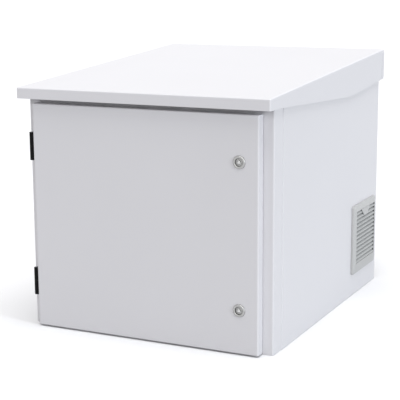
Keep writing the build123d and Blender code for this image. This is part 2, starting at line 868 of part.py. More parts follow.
def depth_channel(label, side, foot_z):
    with BuildPart() as channel:
        with BuildSketch(front_plane(channel_front)):
            inner = side * rail_outer
            outer = side * inner_half
            rectangle_between(min(inner, outer), max(inner, outer), foot_z, foot_z + channel_height)
            hollow = side * (rail_outer + rail_sheet)
            rectangle_between(
                min(hollow, outer),
                max(hollow, outer),
                foot_z + rail_sheet,
                foot_z + channel_height - rail_sheet,
                mode=Mode.SUBTRACT,
            )
        extrude(amount=-(channel_back - channel_front))
        with BuildSketch(side_plane(side * rail_outer)):
            for screw_y in (rail_front_y + rail_screw_inset, rail_rear_y - rail_screw_inset):
                with Locations((screw_y, foot_z + channel_height / 2)):
                    SlotOverall(slot_length, 2 * (rail_screw_radius + screw_hole_gap))
            with Locations(((rail_front_y + rail_rear_y) / 2, foot_z + channel_height / 2)):
                with GridLocations(channel_slot_pitch, 0, channel_slots, 1):
                    SlotOverall(slot_length, 2 * (rail_screw_radius + screw_hole_gap))
        extrude(amount=side * rail_sheet, mode=Mode.SUBTRACT)
    write(channel.part, label)


for side_name, side in (("left", -1), ("right", 1)):
    depth_channel(f"depth_channel_lower_{side_name}", side, rail_bottom)
    depth_channel(f"depth_channel_upper_{side_name}", side, rail_top - channel_height)

rail_screw_places = [
    (screw_y, screw_z)
    for screw_y in (rail_front_y + rail_screw_inset, rail_rear_y - rail_screw_inset)
    for screw_z in (rail_bottom + channel_height / 2, rail_top - channel_height / 2)
]

with BuildPart() as rail_screws:
    for side in (-1, 1):
        with BuildSketch(side_plane(side * (rail_outer - rail_sheet))):
            with Locations(*rail_screw_places):
                Circle(rail_screw_radius * pan_head_reach)
        extrude(amount=-side * rail_screw_radius)
        with BuildSketch(side_plane(side * (rail_outer - rail_sheet))):
            with Locations(*rail_screw_places):
                Circle(rail_screw_radius)
        extrude(amount=side * (3 * rail_sheet + rail_screw_radius * nut_rise))
write(rail_screws.part, "rail_screws")

with BuildPart() as rail_nuts:
    for side in (-1, 1):
        with BuildSketch(side_plane(side * (rail_outer + rail_sheet))):
            with Locations(*rail_screw_places):
                RegularPolygon(rail_screw_radius * hexagon_reach, 6)
                Circle(rail_screw_radius, mode=Mode.SUBTRACT)
        extrude(amount=side * rail_screw_radius * nut_rise)
write(rail_nuts.part, "rail_nuts")


# Cable entry: gasket, plate with blind grommets, and nuts on the base pan's studs

with BuildPart() as gland_plate_gasket:
    with BuildSketch(Plane.XY.offset(sheet)):
        with Locations((0, gland_y)):
            RectangleRounded(gland_plate_x, gland_plate_y, gland_corner)
            RectangleRounded(gland_opening_x, gland_opening_y, gland_corner, mode=Mode.SUBTRACT)
            with GridLocations(gland_stud_x, gland_stud_y, 3, 2):
                Circle(gland_stud_radius + screw_hole_gap, mode=Mode.SUBTRACT)
    extrude(amount=gland_gasket)
write(gland_plate_gasket.part, "gland_plate_gasket")

large_places = [
    (step * grommet_large_pitch, gland_y - grommet_row_offset) for step in (-1, 0, 1)
]
small_places = [
    (step * grommet_small_pitch, gland_y + grommet_row_offset) for step in (-1.5, -0.5, 0.5, 1.5)
]

with BuildPart() as gland_plate:
    with BuildSketch(Plane.XY.offset(gland_plate_z)):
        with Locations((0, gland_y)):
            RectangleRounded(gland_plate_x, gland_plate_y, gland_corner)
            with GridLocations(gland_stud_x, gland_stud_y, 3, 2):
                Circle(gland_stud_radius + screw_hole_gap, mode=Mode.SUBTRACT)
        with Locations(*large_places):
            Circle(grommet_large, mode=Mode.SUBTRACT)
        with Locations(*small_places):
            Circle(grommet_small, mode=Mode.SUBTRACT)
    extrude(amount=gland_sheet)
write(gland_plate.part, "gland_plate")

with BuildPart() as gland_plate_nuts:
    with BuildSketch(Plane.XY.offset(gland_plate_z + gland_sheet)):
        with Locations((0, gland_y)):
            with GridLocations(gland_stud_x, gland_stud_y, 3, 2):
                RegularPolygon(gland_stud_radius * hexagon_reach, 6)
                Circle(gland_stud_radius, mode=Mode.SUBTRACT)
    extrude(amount=gland_stud_radius * nut_rise)
write(gland_plate_nuts.part, "gland_plate_nuts")

with BuildPart() as cable_grommets:
    for places, radius in ((large_places, grommet_large), (small_places, grommet_small)):
        with BuildSketch(Plane.XY.offset(gland_plate_z - grommet_flange)):
            with Locations(*places):
                Circle(radius + grommet_lip)
        extrude(amount=grommet_flange)
        with BuildSketch(Plane.XY.offset(gland_plate_z)):
            with Locations(*places):
                Circle(radius)
        extrude(amount=gland_sheet)
        with BuildSketch(Plane.XY.offset(gland_plate_z + gland_sheet)):
            with Locations(*places):
                Circle(radius + grommet_lip)
        extrude(amount=grommet_flange)
        with BuildSketch(Plane.XY.offset(gland_plate_z + gland_sheet + grommet_flange)):
            with Locations(*places):
                Circle(radius * grommet_cone_foot)
        extrude(amount=radius * grommet_cone_rise, taper=grommet_cone_taper)
write(cable_grommets.part, "cable_grommets")


# Earth studs, one on the base and one inside the door, each with a flange nut

def earth_stud(name, foot):
    with BuildPart() as stud:
        with BuildSketch(foot):
            Circle(earth_stud_radius)
        extrude(amount=earth_stud_length)
        chamfer(stud.faces().sort_by(Axis(foot.origin, foot.z_dir))[-1].edges(), earth_chamfer)
    write(stud.part, f"{name}_earth_stud")

    with BuildPart() as nut:
        with BuildSketch(foot):
            Circle(earth_flange_radius)
            Circle(earth_stud_radius, mode=Mode.SUBTRACT)
        extrude(amount=sheet)
        with BuildSketch(foot.offset(sheet)):
            RegularPolygon(earth_nut_flats / 2, 6, major_radius=False)
            Circle(earth_stud_radius, mode=Mode.SUBTRACT)
        extrude(amount=earth_nut_thickness)
    write(nut.part, f"{name}_earth_nut")


earth_stud("body", Plane(origin=(earth_x, earth_y, sheet), z_dir=(0, 0, 1)))
earth_stud("door", Plane(origin=(earth_x, door_skin, door_bottom + door_earth_up), z_dir=(0, 1, 0)))


# Vent frame: flange outside the body's right side, filter tray through it, hinge ears at its foot

flange_foot = vent_height - vent_flange_side / 2
tray_side = vent_cutout - 2 * vent_fit_gap
tray_inner_side = tray_side - 2 * vent_wall
ear_places = (vent_y - ear_spread / 2, vent_y + ear_spread / 2)

with BuildPart() as vent_frame:
    with BuildSketch(side_plane(half_width)):
        with Locations((vent_y, vent_height)):
            RectangleRounded(vent_flange_side, vent_flange_side, cover_corner / 2)
    extrude(amount=vent_flange_thickness)
    with BuildSketch(side_plane(vent_inner)):
        with Locations((vent_y, vent_height)):
            RectangleRounded(tray_side, tray_side, inner_radius)
    extrude(amount=vent_depth)
    with BuildSketch(side_plane(vent_inner + vent_wall)):
        with Locations((vent_y, vent_height)):
            Rectangle(tray_inner_side, tray_inner_side)
    extrude(amount=vent_depth, mode=Mode.SUBTRACT)
    with BuildSketch(side_plane(vent_inner)):
        with Locations((vent_y, vent_height)):
            Circle(fan_duct_radius)
            with GridLocations(0, fan_duct_radius * 2 / 3, 1, 2):
                Rectangle(fan_side, vent_bar, mode=Mode.SUBTRACT)
            with GridLocations(fan_duct_radius * 2 / 3, 0, 2, 1):
                Rectangle(vent_bar, fan_side, mode=Mode.SUBTRACT)
            with GridLocations(fan_hole_spacing, fan_hole_spacing, 2, 2):
                Circle(fan_hole_radius)
    extrude(amount=vent_wall, mode=Mode.SUBTRACT)
    for ear_y in ear_places:
        with BuildSketch(front_plane(ear_y - ear_width / 2)):
            rectangle_between(half_width, cover_axis_x, cover_axis_z, flange_foot + cover_knuckle_radius)
            with Locations((cover_axis_x, cover_axis_z)):
                Circle(cover_knuckle_radius)
        extrude(amount=-ear_width)
        with BuildSketch(front_plane(ear_y - ear_width / 2)):
            with Locations((cover_axis_x, cover_axis_z)):
                Circle(cover_pin_radius + pin_running_gap)
        extrude(amount=-ear_width, mode=Mode.SUBTRACT)
write(vent_frame.part, "vent_frame")


# Vent cover: bevelled cap with louvres and a finger tab, which tips down on its two foot hinges

cover_back = half_width + cover_stand_off
cover_face = half_width + cover_proud
cover_inner_side = cover_side - 2 * cover_wall
window_width = cover_side - 2 * louvre_side_border
window_height = cover_side - louvre_top_border - louvre_bottom_border
window_z = vent_bottom + louvre_bottom_border + window_height / 2
window_inner_width = window_width - 2 * louvre_frame
window_inner_height = window_height - 2 * louvre_frame
louvre_length = window_inner_width + louvre_frame
louvre_pitch = window_inner_height / louvre_count
louvre_rise = (louvre_pitch - louvre_gap) / 2
louvre_back = half_width + vent_flange_thickness + louvre_back_gap

with BuildPart() as vent_cover:
    with BuildSketch(side_plane(cover_back)):
        with Locations((vent_y, vent_height)):
            RectangleRounded(cover_side, cover_side, cover_corner)
    extrude(amount=cover_rim)
    with BuildSketch(side_plane(cover_back + cover_rim)):
        with Locations((vent_y, vent_height)):
            RectangleRounded(cover_side, cover_side, cover_corner)
    with BuildSketch(side_plane(cover_face)):
        with Locations((vent_y, window_z)):
            RectangleRounded(window_width, window_height, cover_corner / 2)
    loft()
    with BuildSketch(side_plane(cover_back)):
        with Locations((vent_y, vent_height)):
            RectangleRounded(cover_inner_side, cover_inner_side, cover_corner - cover_wall)
    extrude(amount=cover_rim - cover_wall / 2, mode=Mode.SUBTRACT)
    with BuildSketch(side_plane(cover_back + cover_rim - cover_wall / 2)):
        with Locations((vent_y, vent_height)):
            RectangleRounded(cover_inner_side, cover_inner_side, cover_corner - cover_wall)
    with BuildSketch(side_plane(cover_face - cover_wall)):
        with Locations((vent_y, window_z)):
            RectangleRounded(window_width, window_height, cover_corner / 2)
    loft(mode=Mode.SUBTRACT)
    with BuildSketch(side_plane(cover_back)):
        with Locations((vent_y, window_z)):
            Rectangle(window_inner_width, window_inner_height)
    extrude(amount=cover_proud, mode=Mode.SUBTRACT)
    for row in range(louvre_count):
        middle = window_z - window_inner_height / 2 + (row + 0.5) * louvre_pitch
        with BuildSketch(front_plane(vent_y - louvre_length / 2)):
            with BuildLine():
                Polyline(
                    (louvre_back, middle + louvre_rise),
                    (cover_face - louvre_thickness, middle - louvre_rise),
                    (cover_face, middle - louvre_rise),
                    (louvre_back + louvre_thickness, middle + louvre_rise),
                    close=True,
                )
            make_face()
        extrude(amount=-louvre_length)
    with BuildSketch(side_plane(cover_face - louvre_thickness)):
        with BuildLine():
            Polyline(
                (vent_y - tab_top_width / 2, window_z + window_height / 2),
                (vent_y + tab_top_width / 2, window_z + window_height / 2),
                (vent_y + tab_foot_width / 2, window_z + window_height / 2 - tab_drop),
                (vent_y - tab_foot_width / 2, window_z + window_height / 2 - tab_drop),
                close=True,
            )
        make_face()
    extrude(amount=louvre_thickness)
    with BuildSketch(front_plane(vent_y - cover_side / 2)):
        with BuildLine():
            Polyline(
                (cover_back, cover_axis_z),
                (cover_back, vent_bottom),
                (cover_axis_x, vent_bottom),
                close=True,
            )
        make_face()
    extrude(amount=-cover_side, mode=Mode.SUBTRACT)
    for ear_y in ear_places:
        for side in (-1, 1):
            with BuildSketch(front_plane(ear_y + side * (ear_width / 2 + ear_gap))):
                with Locations((cover_axis_x, cover_axis_z)):
                    Circle(cover_boss_radius)
            extrude(amount=-side * cover_boss_length)
        with BuildSketch(front_plane(ear_y - ear_width / 2 - ear_gap)):
            with Locations((cover_axis_x, cover_axis_z)):
                Circle(cover_knuckle_radius + ear_gap)
        extrude(amount=-ear_width - 2 * ear_gap, mode=Mode.SUBTRACT)
        for side in (-1, 1):
            with BuildSketch(front_plane(ear_y + side * (ear_width / 2 + ear_gap))):
                with Locations((cover_axis_x, cover_axis_z)):
                    Circle(cover_pin_radius)
            extrude(amount=side * cover_pin_length)
write(vent_cover.part, "vent_cover")

with BuildPart() as filter_mat:
    with BuildSketch(side_plane(vent_inner + vent_wall)):
        with Locations((vent_y, vent_height)):
            Rectangle(tray_inner_side - 2 * filter_gap, tray_inner_side - 2 * filter_gap)
    extrude(amount=filter_thickness)
write(filter_mat.part, "filter_mat")


# Fan, on its own plane: the plane's normal runs inwards from the vent frame's back

fan_plane = Plane(origin=(vent_inner, vent_y, vent_height), x_dir=(0, 1, 0), z_dir=(-1, 0, 0))

with BuildPart() as fan_housing:
    with BuildSketch(fan_plane, fan_plane.offset(fan_depth - fan_plate)):
        RectangleRounded(fan_side, fan_side, fan_corner)
        with GridLocations(fan_hole_spacing, fan_hole_spacing, 2, 2):
            Circle(fan_hole_radius, mode=Mode.SUBTRACT)
    extrude(amount=fan_plate)
    with BuildSketch(fan_plane):
        Circle(fan_duct_radius + fan_duct_wall)
    extrude(amount=fan_depth)
    with BuildSketch(fan_plane):
        Circle(fan_duct_radius)
    extrude(amount=fan_depth, mode=Mode.SUBTRACT)
    with BuildSketch(fan_plane.offset(fan_depth - fan_plate)):
        with PolarLocations(0, 4, start_angle=45):
            with Locations(((fan_duct_radius + fan_hub_radius) / 2, 0)):
                Rectangle(fan_duct_radius - fan_hub_radius + 2 * fan_duct_wall, fan_strut)
    extrude(amount=fan_plate)
    with BuildSketch(fan_plane.offset(fan_depth - fan_hub_depth)):
        Circle(fan_hub_radius)
        Circle(fan_shaft_radius + pin_running_gap, mode=Mode.SUBTRACT)
    extrude(amount=fan_hub_depth)
write(fan_housing.part, "fan_housing")

blade_middle = fan_plate + rotor_depth / 2
hub_back = fan_depth - fan_hub_depth


def blade_section(radius, pitch):
    """Plane across a blade at a radius, its X along the blade's chord."""
    turn = math.radians(pitch)
    chord = (0, math.cos(turn), math.sin(turn))
    return Plane(origin=(radius, 0, blade_middle), x_dir=chord, z_dir=(1, 0, 0))


with BuildPart() as blade:
    with BuildSketch(blade_section(rotor_hub_radius - blade_thickness, blade_root_pitch)):
        Rectangle(blade_root_chord, blade_thickness)
    with BuildSketch(blade_section(rotor_radius, blade_tip_pitch)):
        Rectangle(blade_tip_chord, blade_thickness)
    loft()
    with BuildSketch(Plane.XY):
        Circle(rotor_radius)
    extrude(amount=fan_depth, mode=Mode.INTERSECT)

with BuildPart(fan_plane) as fan_rotor:
    with BuildSketch(fan_plane.offset(fan_plate)):
        Circle(rotor_hub_radius)
    extrude(amount=rotor_depth)
    fillet(fan_rotor.faces().sort_by(Axis.X)[-1].edges(), fan_corner)
    with PolarLocations(0, blade_count):
        add(blade.part)
    with BuildSketch(fan_plane.offset(fan_plate + rotor_depth)):
        Circle(fan_shaft_radius)
    extrude(amount=hub_back + fan_hub_depth / 2 - fan_plate - rotor_depth)
write(fan_rotor.part, "fan_rotor")

with BuildPart() as fan_guard:
    with BuildSketch(fan_plane.offset(fan_depth)):
        for ring in reversed(range(guard_rings)):
            ring_radius = fan_duct_radius * (ring + 1) / guard_rings
            Circle(ring_radius)
            Circle(ring_radius - guard_wire, mode=Mode.SUBTRACT)
        arm_foot = fan_duct_radius / guard_rings - guard_wire
        arm_end = fan_hole_spacing / 2 * math.sqrt(2)
        with PolarLocations(0, 4, start_angle=45):
            with Locations(((arm_foot + arm_end) / 2, 0)):
                Rectangle(arm_end - arm_foot, guard_wire)
        with GridLocations(fan_hole_spacing, fan_hole_spacing, 2, 2):
            Circle(fan_hole_radius + guard_wire)
            Circle(fan_hole_radius, mode=Mode.SUBTRACT)
    extrude(amount=guard_wire)
write(fan_guard.part, "fan_guard")

with BuildPart() as fan_screws:
    with BuildSketch(fan_plane.offset(-vent_wall)):
        with GridLocations(fan_hole_spacing, fan_hole_spacing, 2, 2):
            Circle(fan_hole_radius - screw_hole_gap)
    extrude(amount=vent_wall + fan_depth + guard_wire)
    with BuildSketch(fan_plane.offset(fan_depth + guard_wire)):
        with GridLocations(fan_hole_spacing, fan_hole_spacing, 2, 2):
            Circle(fan_hole_radius + guard_wire)
    extrude(amount=guard_wire)
write(fan_screws.part, "fan_screws")
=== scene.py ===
# %% [markdown]
# # An outdoor utility cabinet, dressed for its portrait
#
# The cabinet is folded from light grey painted steel: a body with an open front, a door on two
# black hinges, two quarter-turn locks, a sloped canopy against the rain and a louvred vent low on
# the right side. Behind the door are a rack frame, earth studs, a fan and a plate for cables.
#
# The exact solids come from the CAD model, which is loaded first and never moved. Each step below
# either gives such a solid its finish, or models a finer piece that stands in its place and moves
# with the same body. Blender works in metres, with X to the cabinet's right, Y from its door to
# its back and Z up.

# %% The tools and the fixed frame
import json
import math

import bmesh
import bpy
from mathutils import Matrix, Vector, noise


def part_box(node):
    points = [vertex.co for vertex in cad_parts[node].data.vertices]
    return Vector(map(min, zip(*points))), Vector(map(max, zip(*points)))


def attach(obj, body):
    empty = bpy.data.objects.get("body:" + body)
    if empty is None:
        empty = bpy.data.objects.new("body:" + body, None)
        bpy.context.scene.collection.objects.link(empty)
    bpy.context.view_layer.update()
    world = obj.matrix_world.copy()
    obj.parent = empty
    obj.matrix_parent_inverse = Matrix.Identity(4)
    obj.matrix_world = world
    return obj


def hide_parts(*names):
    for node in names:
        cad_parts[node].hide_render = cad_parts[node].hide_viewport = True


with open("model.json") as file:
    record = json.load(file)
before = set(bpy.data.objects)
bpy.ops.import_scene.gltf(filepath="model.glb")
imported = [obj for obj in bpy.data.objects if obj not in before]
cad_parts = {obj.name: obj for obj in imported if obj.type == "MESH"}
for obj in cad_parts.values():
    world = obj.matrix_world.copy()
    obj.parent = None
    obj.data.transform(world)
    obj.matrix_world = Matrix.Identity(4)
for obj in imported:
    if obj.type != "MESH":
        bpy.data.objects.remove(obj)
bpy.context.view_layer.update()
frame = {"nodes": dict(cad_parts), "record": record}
scene = bpy.context.scene
scene.view_settings.view_transform = "Standard"


def as_object(bm, name="passing"):
    """An object of a bmesh; the passing ones serve a Boolean or copies and are then removed."""
    mesh = bpy.data.meshes.new(name)
    bm.to_mesh(mesh)
    bm.free()
    made = bpy.data.objects.new(name, mesh)
    scene.collection.objects.link(made)
    return made


# %% [markdown]
# ## The camera
#
# The product photograph was taken from the right and a little above, through a long lens. A camera
# can be aimed with a Track To constraint, but that leaves no room for the slight roll of the
# picture, so three turns take its place: round the upright, up from the level, and the roll. The
# lens follows from the focal length in pixels and the width of the picture.

# %% The photograph's viewpoint
camera_spot = Vector((1.1945, -2.5267, 0.8125))
azimuth, elevation, roll = (math.radians(angle) for angle in (26.0, 11.35, -0.36))
focal_pixels = 1162.8
picture_pixels = 400
sensor_width = 36.0

camera = bpy.data.objects.new("camera", bpy.data.cameras.new("camera"))
scene.collection.objects.link(camera)
aim = Matrix.Rotation(azimuth, 4, "Z") @ Matrix.Rotation(math.pi / 2 - elevation, 4, "X")
camera.matrix_world = Matrix.Translation(camera_spot) @ aim @ Matrix.Rotation(roll, 4, "Z")
camera.data.sensor_width = sensor_width
camera.data.lens = focal_pixels / picture_pixels * sensor_width
scene.camera = camera
print("lens:", round(camera.data.lens, 1), "mm")

# %% [markdown]
# ## Shader graphs as expressions
#
# A finish is a graph of nodes. Wiring it by hand hides the idea behind the plumbing, so one small
# class holds an output socket and lets Python's operators add the Math nodes: `1 - mask * 0.2`
# builds two of them. Everything else goes through one method, which takes the node's type, its
# settings and what its sockets receive.

# %% A socket that can be reckoned with
class Reading:
    """The output of a node in a graph; an expression on it adds Math nodes."""

    def __init__(self, graph, socket):
        self.graph = graph
        self.socket = socket

    def maths(self, operation, *operands):
        return self.graph.node("ShaderNodeMath", {"operation": operation}, dict(enumerate(operands)))

    def __add__(self, other):
        return self.maths("ADD", self, other)

    def __sub__(self, other):
        return self.maths("SUBTRACT", self, other)

    def __rsub__(self, other):
        return self.maths("SUBTRACT", other, self)

    def __mul__(self, other):
        return self.maths("MULTIPLY", self, other)

    def __or__(self, other):
        return self.maths("MAXIMUM", self, other)

    __radd__ = __add__


# %% A graph, with the one method that adds nodes
class Graph:
    """A node tree, with what most finishes need from it."""

    def __init__(self, tree):
        self.tree = tree

    def feed(self, node, sockets):
        for key, value in sockets.items():
            if isinstance(value, Reading):
                self.tree.links.new(value.socket, node.inputs[key])
            else:
                node.inputs[key].default_value = value

    def node(self, kind, settings=None, sockets=None, output=0):
        made = self.tree.nodes.new(kind)
        for key, value in (settings or {}).items():
            setattr(made, key, value)
        self.feed(made, sockets or {})
        return Reading(self, made.outputs[output])

    def mix(self, share, first, second):
        """A colour between two others."""
        sockets = {0: share, 6: first, 7: second}
        return self.node("ShaderNodeMix", {"data_type": "RGBA"}, sockets, output=2)


def tint(red, green, blue):
    """A colour as a screen shows it, 0 to 255, in the linear values that a shader works with."""
    channels = []
    for value in (red, green, blue):
        share = value / 255
        channels.append(share / 12.92 if share <= 0.04045 else ((share + 0.055) / 1.055) ** 2.4)
    return (*channels, 1.0)


# %% [markdown]
# ## The studio
#
# The cabinet stands on a pale floor in even light. Rectangular lamps would do, but their light
# falls off, and the floor would darken into the distance. Sun lamps with a wide angle give the
# same soft shadow and stay even, so three of them are used: a large one overhead, a bluish one from
# the right, which lights the side and draws the skirt's shadow line, and a weak one for the door.
# The sky adds the rest, and what looks straight at it, or at its reflection in metal, sees plain
# white. The floor is white to the eye too, but throws less light back up at the cabinet.

# %% Floor, sky and lamps
floor_radius = 60.0
floor_drop = 0.0005
floor_seen = tint(240, 240, 241)
floor_bounce = tint(188, 188, 189)
ambient = (0.262, 0.262, 0.268, 1.0)
white = (1.0, 1.0, 1.0, 1.0)

disc = bmesh.new()
below = Matrix.Translation((0, 0, -floor_drop))
bmesh.ops.create_circle(disc, cap_ends=True, segments=96, radius=floor_radius, matrix=below)
floor = as_object(disc, "floor")

scene.world = bpy.data.worlds.new("studio")
scene.world.use_nodes = True
sky = Graph(scene.world.node_tree)
rays = ["Is Camera Ray", "Is Glossy Ray", "Is Transmission Ray"]
camera_ray, glossy_ray, clear_ray = (sky.node("ShaderNodeLightPath", output=ray) for ray in rays)
looked_at = camera_ray | glossy_ray | clear_ray
sky.feed(sky.tree.nodes["Background"], {"Color": sky.mix(looked_at, ambient, white)})


def sun(name, towards, strength, width, colour):
    """A lamp with no place of its own: towards is the way to it, width its angle in degrees."""
    lamp = bpy.data.lights.new(name, "SUN")
    lamp.energy = strength
    lamp.angle = math.radians(width)
    lamp.color = colour
    holder = bpy.data.objects.new(name, lamp)
    holder.rotation_euler = Vector(towards).to_track_quat("Z", "Y").to_euler()
    scene.collection.objects.link(holder)
    print("lamp:", name, strength)


sun("overhead", (0.05, -0.06, 1.0), 2.62, 50, (1.0, 1.0, 1.0))
sun("right", (0.95, -0.20, 0.22), 1.53, 12, (0.87, 0.935, 1.0))
sun("front", (0.15, -1.0, 0.34), 0.74, 24, (1.0, 0.995, 1.0))

# %% [markdown]
# ## Finishes
#
# Every finish is a Principled shader with its own noise. The patterns are laid out in the
# object's coordinates, in metres, so that they have a real size and stay with the material: an
# orange peel is a millimetre across whatever it is on. What is the same all over a surface is
# written straight on the shader's socket.

# %% The common part of every finish
class Finish(Graph):
    """A material around one Principled shader."""

    def __init__(self, name, **shader_values):
        self.material = bpy.data.materials.new(name)
        self.material.use_nodes = True
        super().__init__(self.material.node_tree)
        self.shader = self.tree.nodes["Principled BSDF"]
        self.place = self.node("ShaderNodeTexCoord", output="Object")
        self.wear(**shader_values)

    def wear(self, **shader_values):
        """Gives the shader its values or links; an underscore stands for a space."""
        sockets = {key.replace("_", " "): value for key, value in shader_values.items()}
        self.feed(self.shader, sockets)

    def colour(self, share, dark, light):
        """The base colour, between two that are given as a screen shows them."""
        self.wear(Base_Color=self.mix(share, tint(*dark), tint(*light)))

    def stretched(self, *scale):
        """The object's coordinates, scaled apart along X, Y and Z."""
        return self.node("ShaderNodeMapping", sockets={"Vector": self.place, "Scale": scale})

    def grain(self, size, detail=2.0, where=None):
        """Noise whose largest features are about a given size, in metres."""
        sockets = {"Vector": where or self.place, "Scale": 1 / size, "Detail": detail}
        return self.node("ShaderNodeTexNoise", sockets=sockets)

    def cells(self, size, output="Color"):
        """Voronoi cells of about a given size, in metres."""
        sockets = {"Vector": self.place, "Scale": 1 / size}
        return self.node("ShaderNodeTexVoronoi", sockets=sockets, output=output)

    def ramp(self, value, low, high):
        """Zero up to one reading and one from another on."""
        span = {"Value": value, "From Min": low, "From Max": high}
        return self.node("ShaderNodeMapRange", sockets=span)

    def towards(self, axis, start, end):
        """Zero at one place along an axis of the object and one at another, in metres."""
        spot = self.node("ShaderNodeSeparateXYZ", sockets={"Vector": self.place}, output=axis)
        return self.ramp(spot, start, end)

    def relief(self, height, depth, strength=1.0):
        """Bump from a height between 0 and 1, of a real depth in metres."""
        bump = {"Height": height, "Distance": depth, "Strength": strength}
        self.wear(Normal=self.node("ShaderNodeBump", sockets=bump))


# %% [markdown]
# ### The paint
#
# Nearly all of the cabinet wears one powder coat in a cool light grey. Powder melts and flows in
# the oven, so it is never quite flat: there is a fine orange peel about a millimetre across, and
# the gloss drifts a little over a panel. The colour varies by hardly a percent.

# %% Powder coat
coat = Finish("powder_coat", Specular_IOR_Level=0.4)
cloud = coat.grain(0.25, detail=3.0)
peel = coat.grain(0.0018, detail=3.0)
coat.colour(cloud, (215, 214, 217), (219, 218, 221))
coat.wear(Roughness=0.40 + cloud * 0.06 + peel * 0.06)
coat.relief(peel, 0.00005, 0.5)

# %% [markdown]
# ### Bare metals
#
# The rack frame is hot-dip galvanised, and its zinc freezes in spangles: flat crystals a
# centimetre wide that each catch the light in their own way. Voronoi cells with one random value
# each do just that. The screws have a thin blue-white zinc plating. The locks are nickel-plated
# castings, brighter and smoother, and the earth studs are brass that has dulled in patches.

# %% Zinc, nickel, chrome and brass
zinc = Finish("galvanised_steel", Metallic=1.0)
spangle = zinc.node("ShaderNodeSeparateColor", sockets={"Color": zinc.cells(0.011)})
rolled = zinc.grain(0.02, where=zinc.stretched(1, 1, 0.06))
shade = spangle * 0.7 + rolled * 0.3
zinc.colour(shade, (176, 180, 184), (205, 208, 211))
zinc.wear(Roughness=0.34 + shade * 0.2)
zinc.relief(shade, 0.00003)


def plated(name, dark, light, patch_size, spread, grain_size):
    """Plating that has clouded in patches; spread is how much rougher they are."""
    plating = Finish(name, Metallic=1.0)
    patch = plating.grain(patch_size, detail=3.0)
    plating.colour(patch, dark, light)
    plating.wear(Roughness=0.26 + patch * spread)
    plating.relief(plating.grain(grain_size), 0.00001)
    return plating


def nickel_with_painted_shade(foot, face, shade_grey, bright):
    """Nickel with painted shade at one end along Y; the other end is lighter and rubbed smoother by hands and
    keys.
    """
    rubbed_and_shaded = Finish("nickel_with_painted_shade", Metallic=1.0)
    patch = rubbed_and_shaded.grain(0.003, detail=3.0)
    rubbed_and_lit = rubbed_and_shaded.towards("Y", foot, face)
    patchy_shade = rubbed_and_shaded.mix(patch, tint(shade_grey, shade_grey, shade_grey), tint(shade_grey + 24, shade_grey + 24, shade_grey + 22))
    rubbed_and_shaded.wear(Base_Color=rubbed_and_shaded.mix(rubbed_and_lit, patchy_shade, tint(bright, bright, bright - 1)))
    rubbed_and_shaded.wear(Roughness=0.46 - rubbed_and_lit * 0.12 + patch * 0.1)
    rubbed_and_shaded.relief(rubbed_and_shaded.grain(0.0005), 0.00001)
    return rubbed_and_shaded


chrome = Finish("bright_wire", Metallic=1.0)
streaks = chrome.grain(0.002, where=chrome.stretched(1, 0.2, 1))
chrome.colour(streaks, (205, 206, 208), (225, 226, 228))
chrome.wear(Roughness=0.14 + streaks * 0.1)

brass = Finish("dull_brass", Metallic=1.0)
tarnish = brass.ramp(brass.grain(0.005, detail=4.0), 0.42, 0.68)
brass.colour(tarnish, (214, 180, 104), (158, 122, 66))
brass.wear(Roughness=0.25 + tarnish * 0.25)
brass.relief(brass.grain(0.0006), 0.00001)

# %% [markdown]
# ### Black castings, plastics and soft pieces
#
# The hinges are die-cast zinc under a fine-textured black coat, and the fan's frame is an
# aluminium casting painted black. The vent is moulded with a spark-eroded grain that keeps
# fingerprints off. Foam shows cut pores, rubber a faint bloom, and the filter is a fleece of
# tangled white fibres: noise stretched two ways, laid over noise that is not.

# %% Castings and plastics
def cast_black(name, roughness, size):
    casting = Finish(name, Specular_IOR_Level=0.08)
    pebble = casting.grain(size)
    casting.colour(pebble, (9, 9, 10), (17, 17, 18))
    casting.wear(Roughness=roughness + pebble * 0.12)
    casting.relief(pebble, size * 0.12, 0.7)
    return casting


def moulded(name, dark, light, roughness):
    plastic = Finish(name)
    sparks = plastic.grain(0.0007)
    flow = plastic.grain(0.05)
    plastic.colour(flow * 0.7 + sparks * 0.3, dark, light)
    plastic.wear(Roughness=roughness + sparks * 0.1)
    plastic.relief(sparks, 0.00003, 0.6)
    return plastic


def louvre_plastic_painted_shade(recess, crest):
    """The vent's plastic, with painted shade darkening it towards the back of its louvres."""
    shaded_plastic = Finish("louvre_plastic_painted_shade")
    sparks = shaded_plastic.grain(0.0007)
    patches = shaded_plastic.grain(0.012, detail=3.0)
    depth = shaded_plastic.towards("X", recess, crest)
    unshaded_colour = shaded_plastic.mix(sparks * 0.3 + patches * 0.7, tint(170, 171, 170), tint(184, 185, 184))
    # painted shade: the colour falls to a dark grey towards the back of the louvres, where they shade each
    # other
    shaded_plastic.wear(Base_Color=shaded_plastic.mix(depth + patches * 0.1 - 0.05, tint(88, 88, 88), unshaded_colour))
    shaded_plastic.wear(Roughness=0.48 + sparks * 0.1)
    shaded_plastic.relief(sparks, 0.00003, 0.6)
    return shaded_plastic


# %% Foam, rubber and fleece
foam = Finish("closed_cell_foam", Roughness=0.95)
pores = foam.cells(0.0009, output="Distance")
foam.colour(pores, (34, 34, 36), (66, 66, 69))
foam.relief(pores, 0.0003)

rubber = Finish("matt_rubber", Specular_IOR_Level=0.3)
bloom = rubber.grain(0.012, detail=3.0)
rubber.colour(bloom, (22, 22, 23), (46, 46, 48))
rubber.wear(Roughness=0.62 + bloom * 0.2)
rubber.relief(rubber.grain(0.0006), 0.00003)

fleece = Finish("filter_fleece", Roughness=0.95, Sheen_Weight=0.3)
across = fleece.grain(0.004, detail=4.0, where=fleece.stretched(1, 0.15, 1))
upwards = fleece.grain(0.004, detail=4.0, where=fleece.stretched(1, 1, 0.15))
tangle = fleece.grain(0.003, detail=5.0)
fibres = (across + upwards + tangle) * 0.3333
fleece.colour(fibres, (196, 198, 200), (240, 241, 242))
fleece.relief(fibres, 0.0015)

# %% [markdown]
# ### Handing the finishes out
#
# The record of the part says which material slot each CAD node has, and on which body it moves. One
# table from slot to finish therefore dresses every node at once, and the finer pieces made later
# ask the same tables.

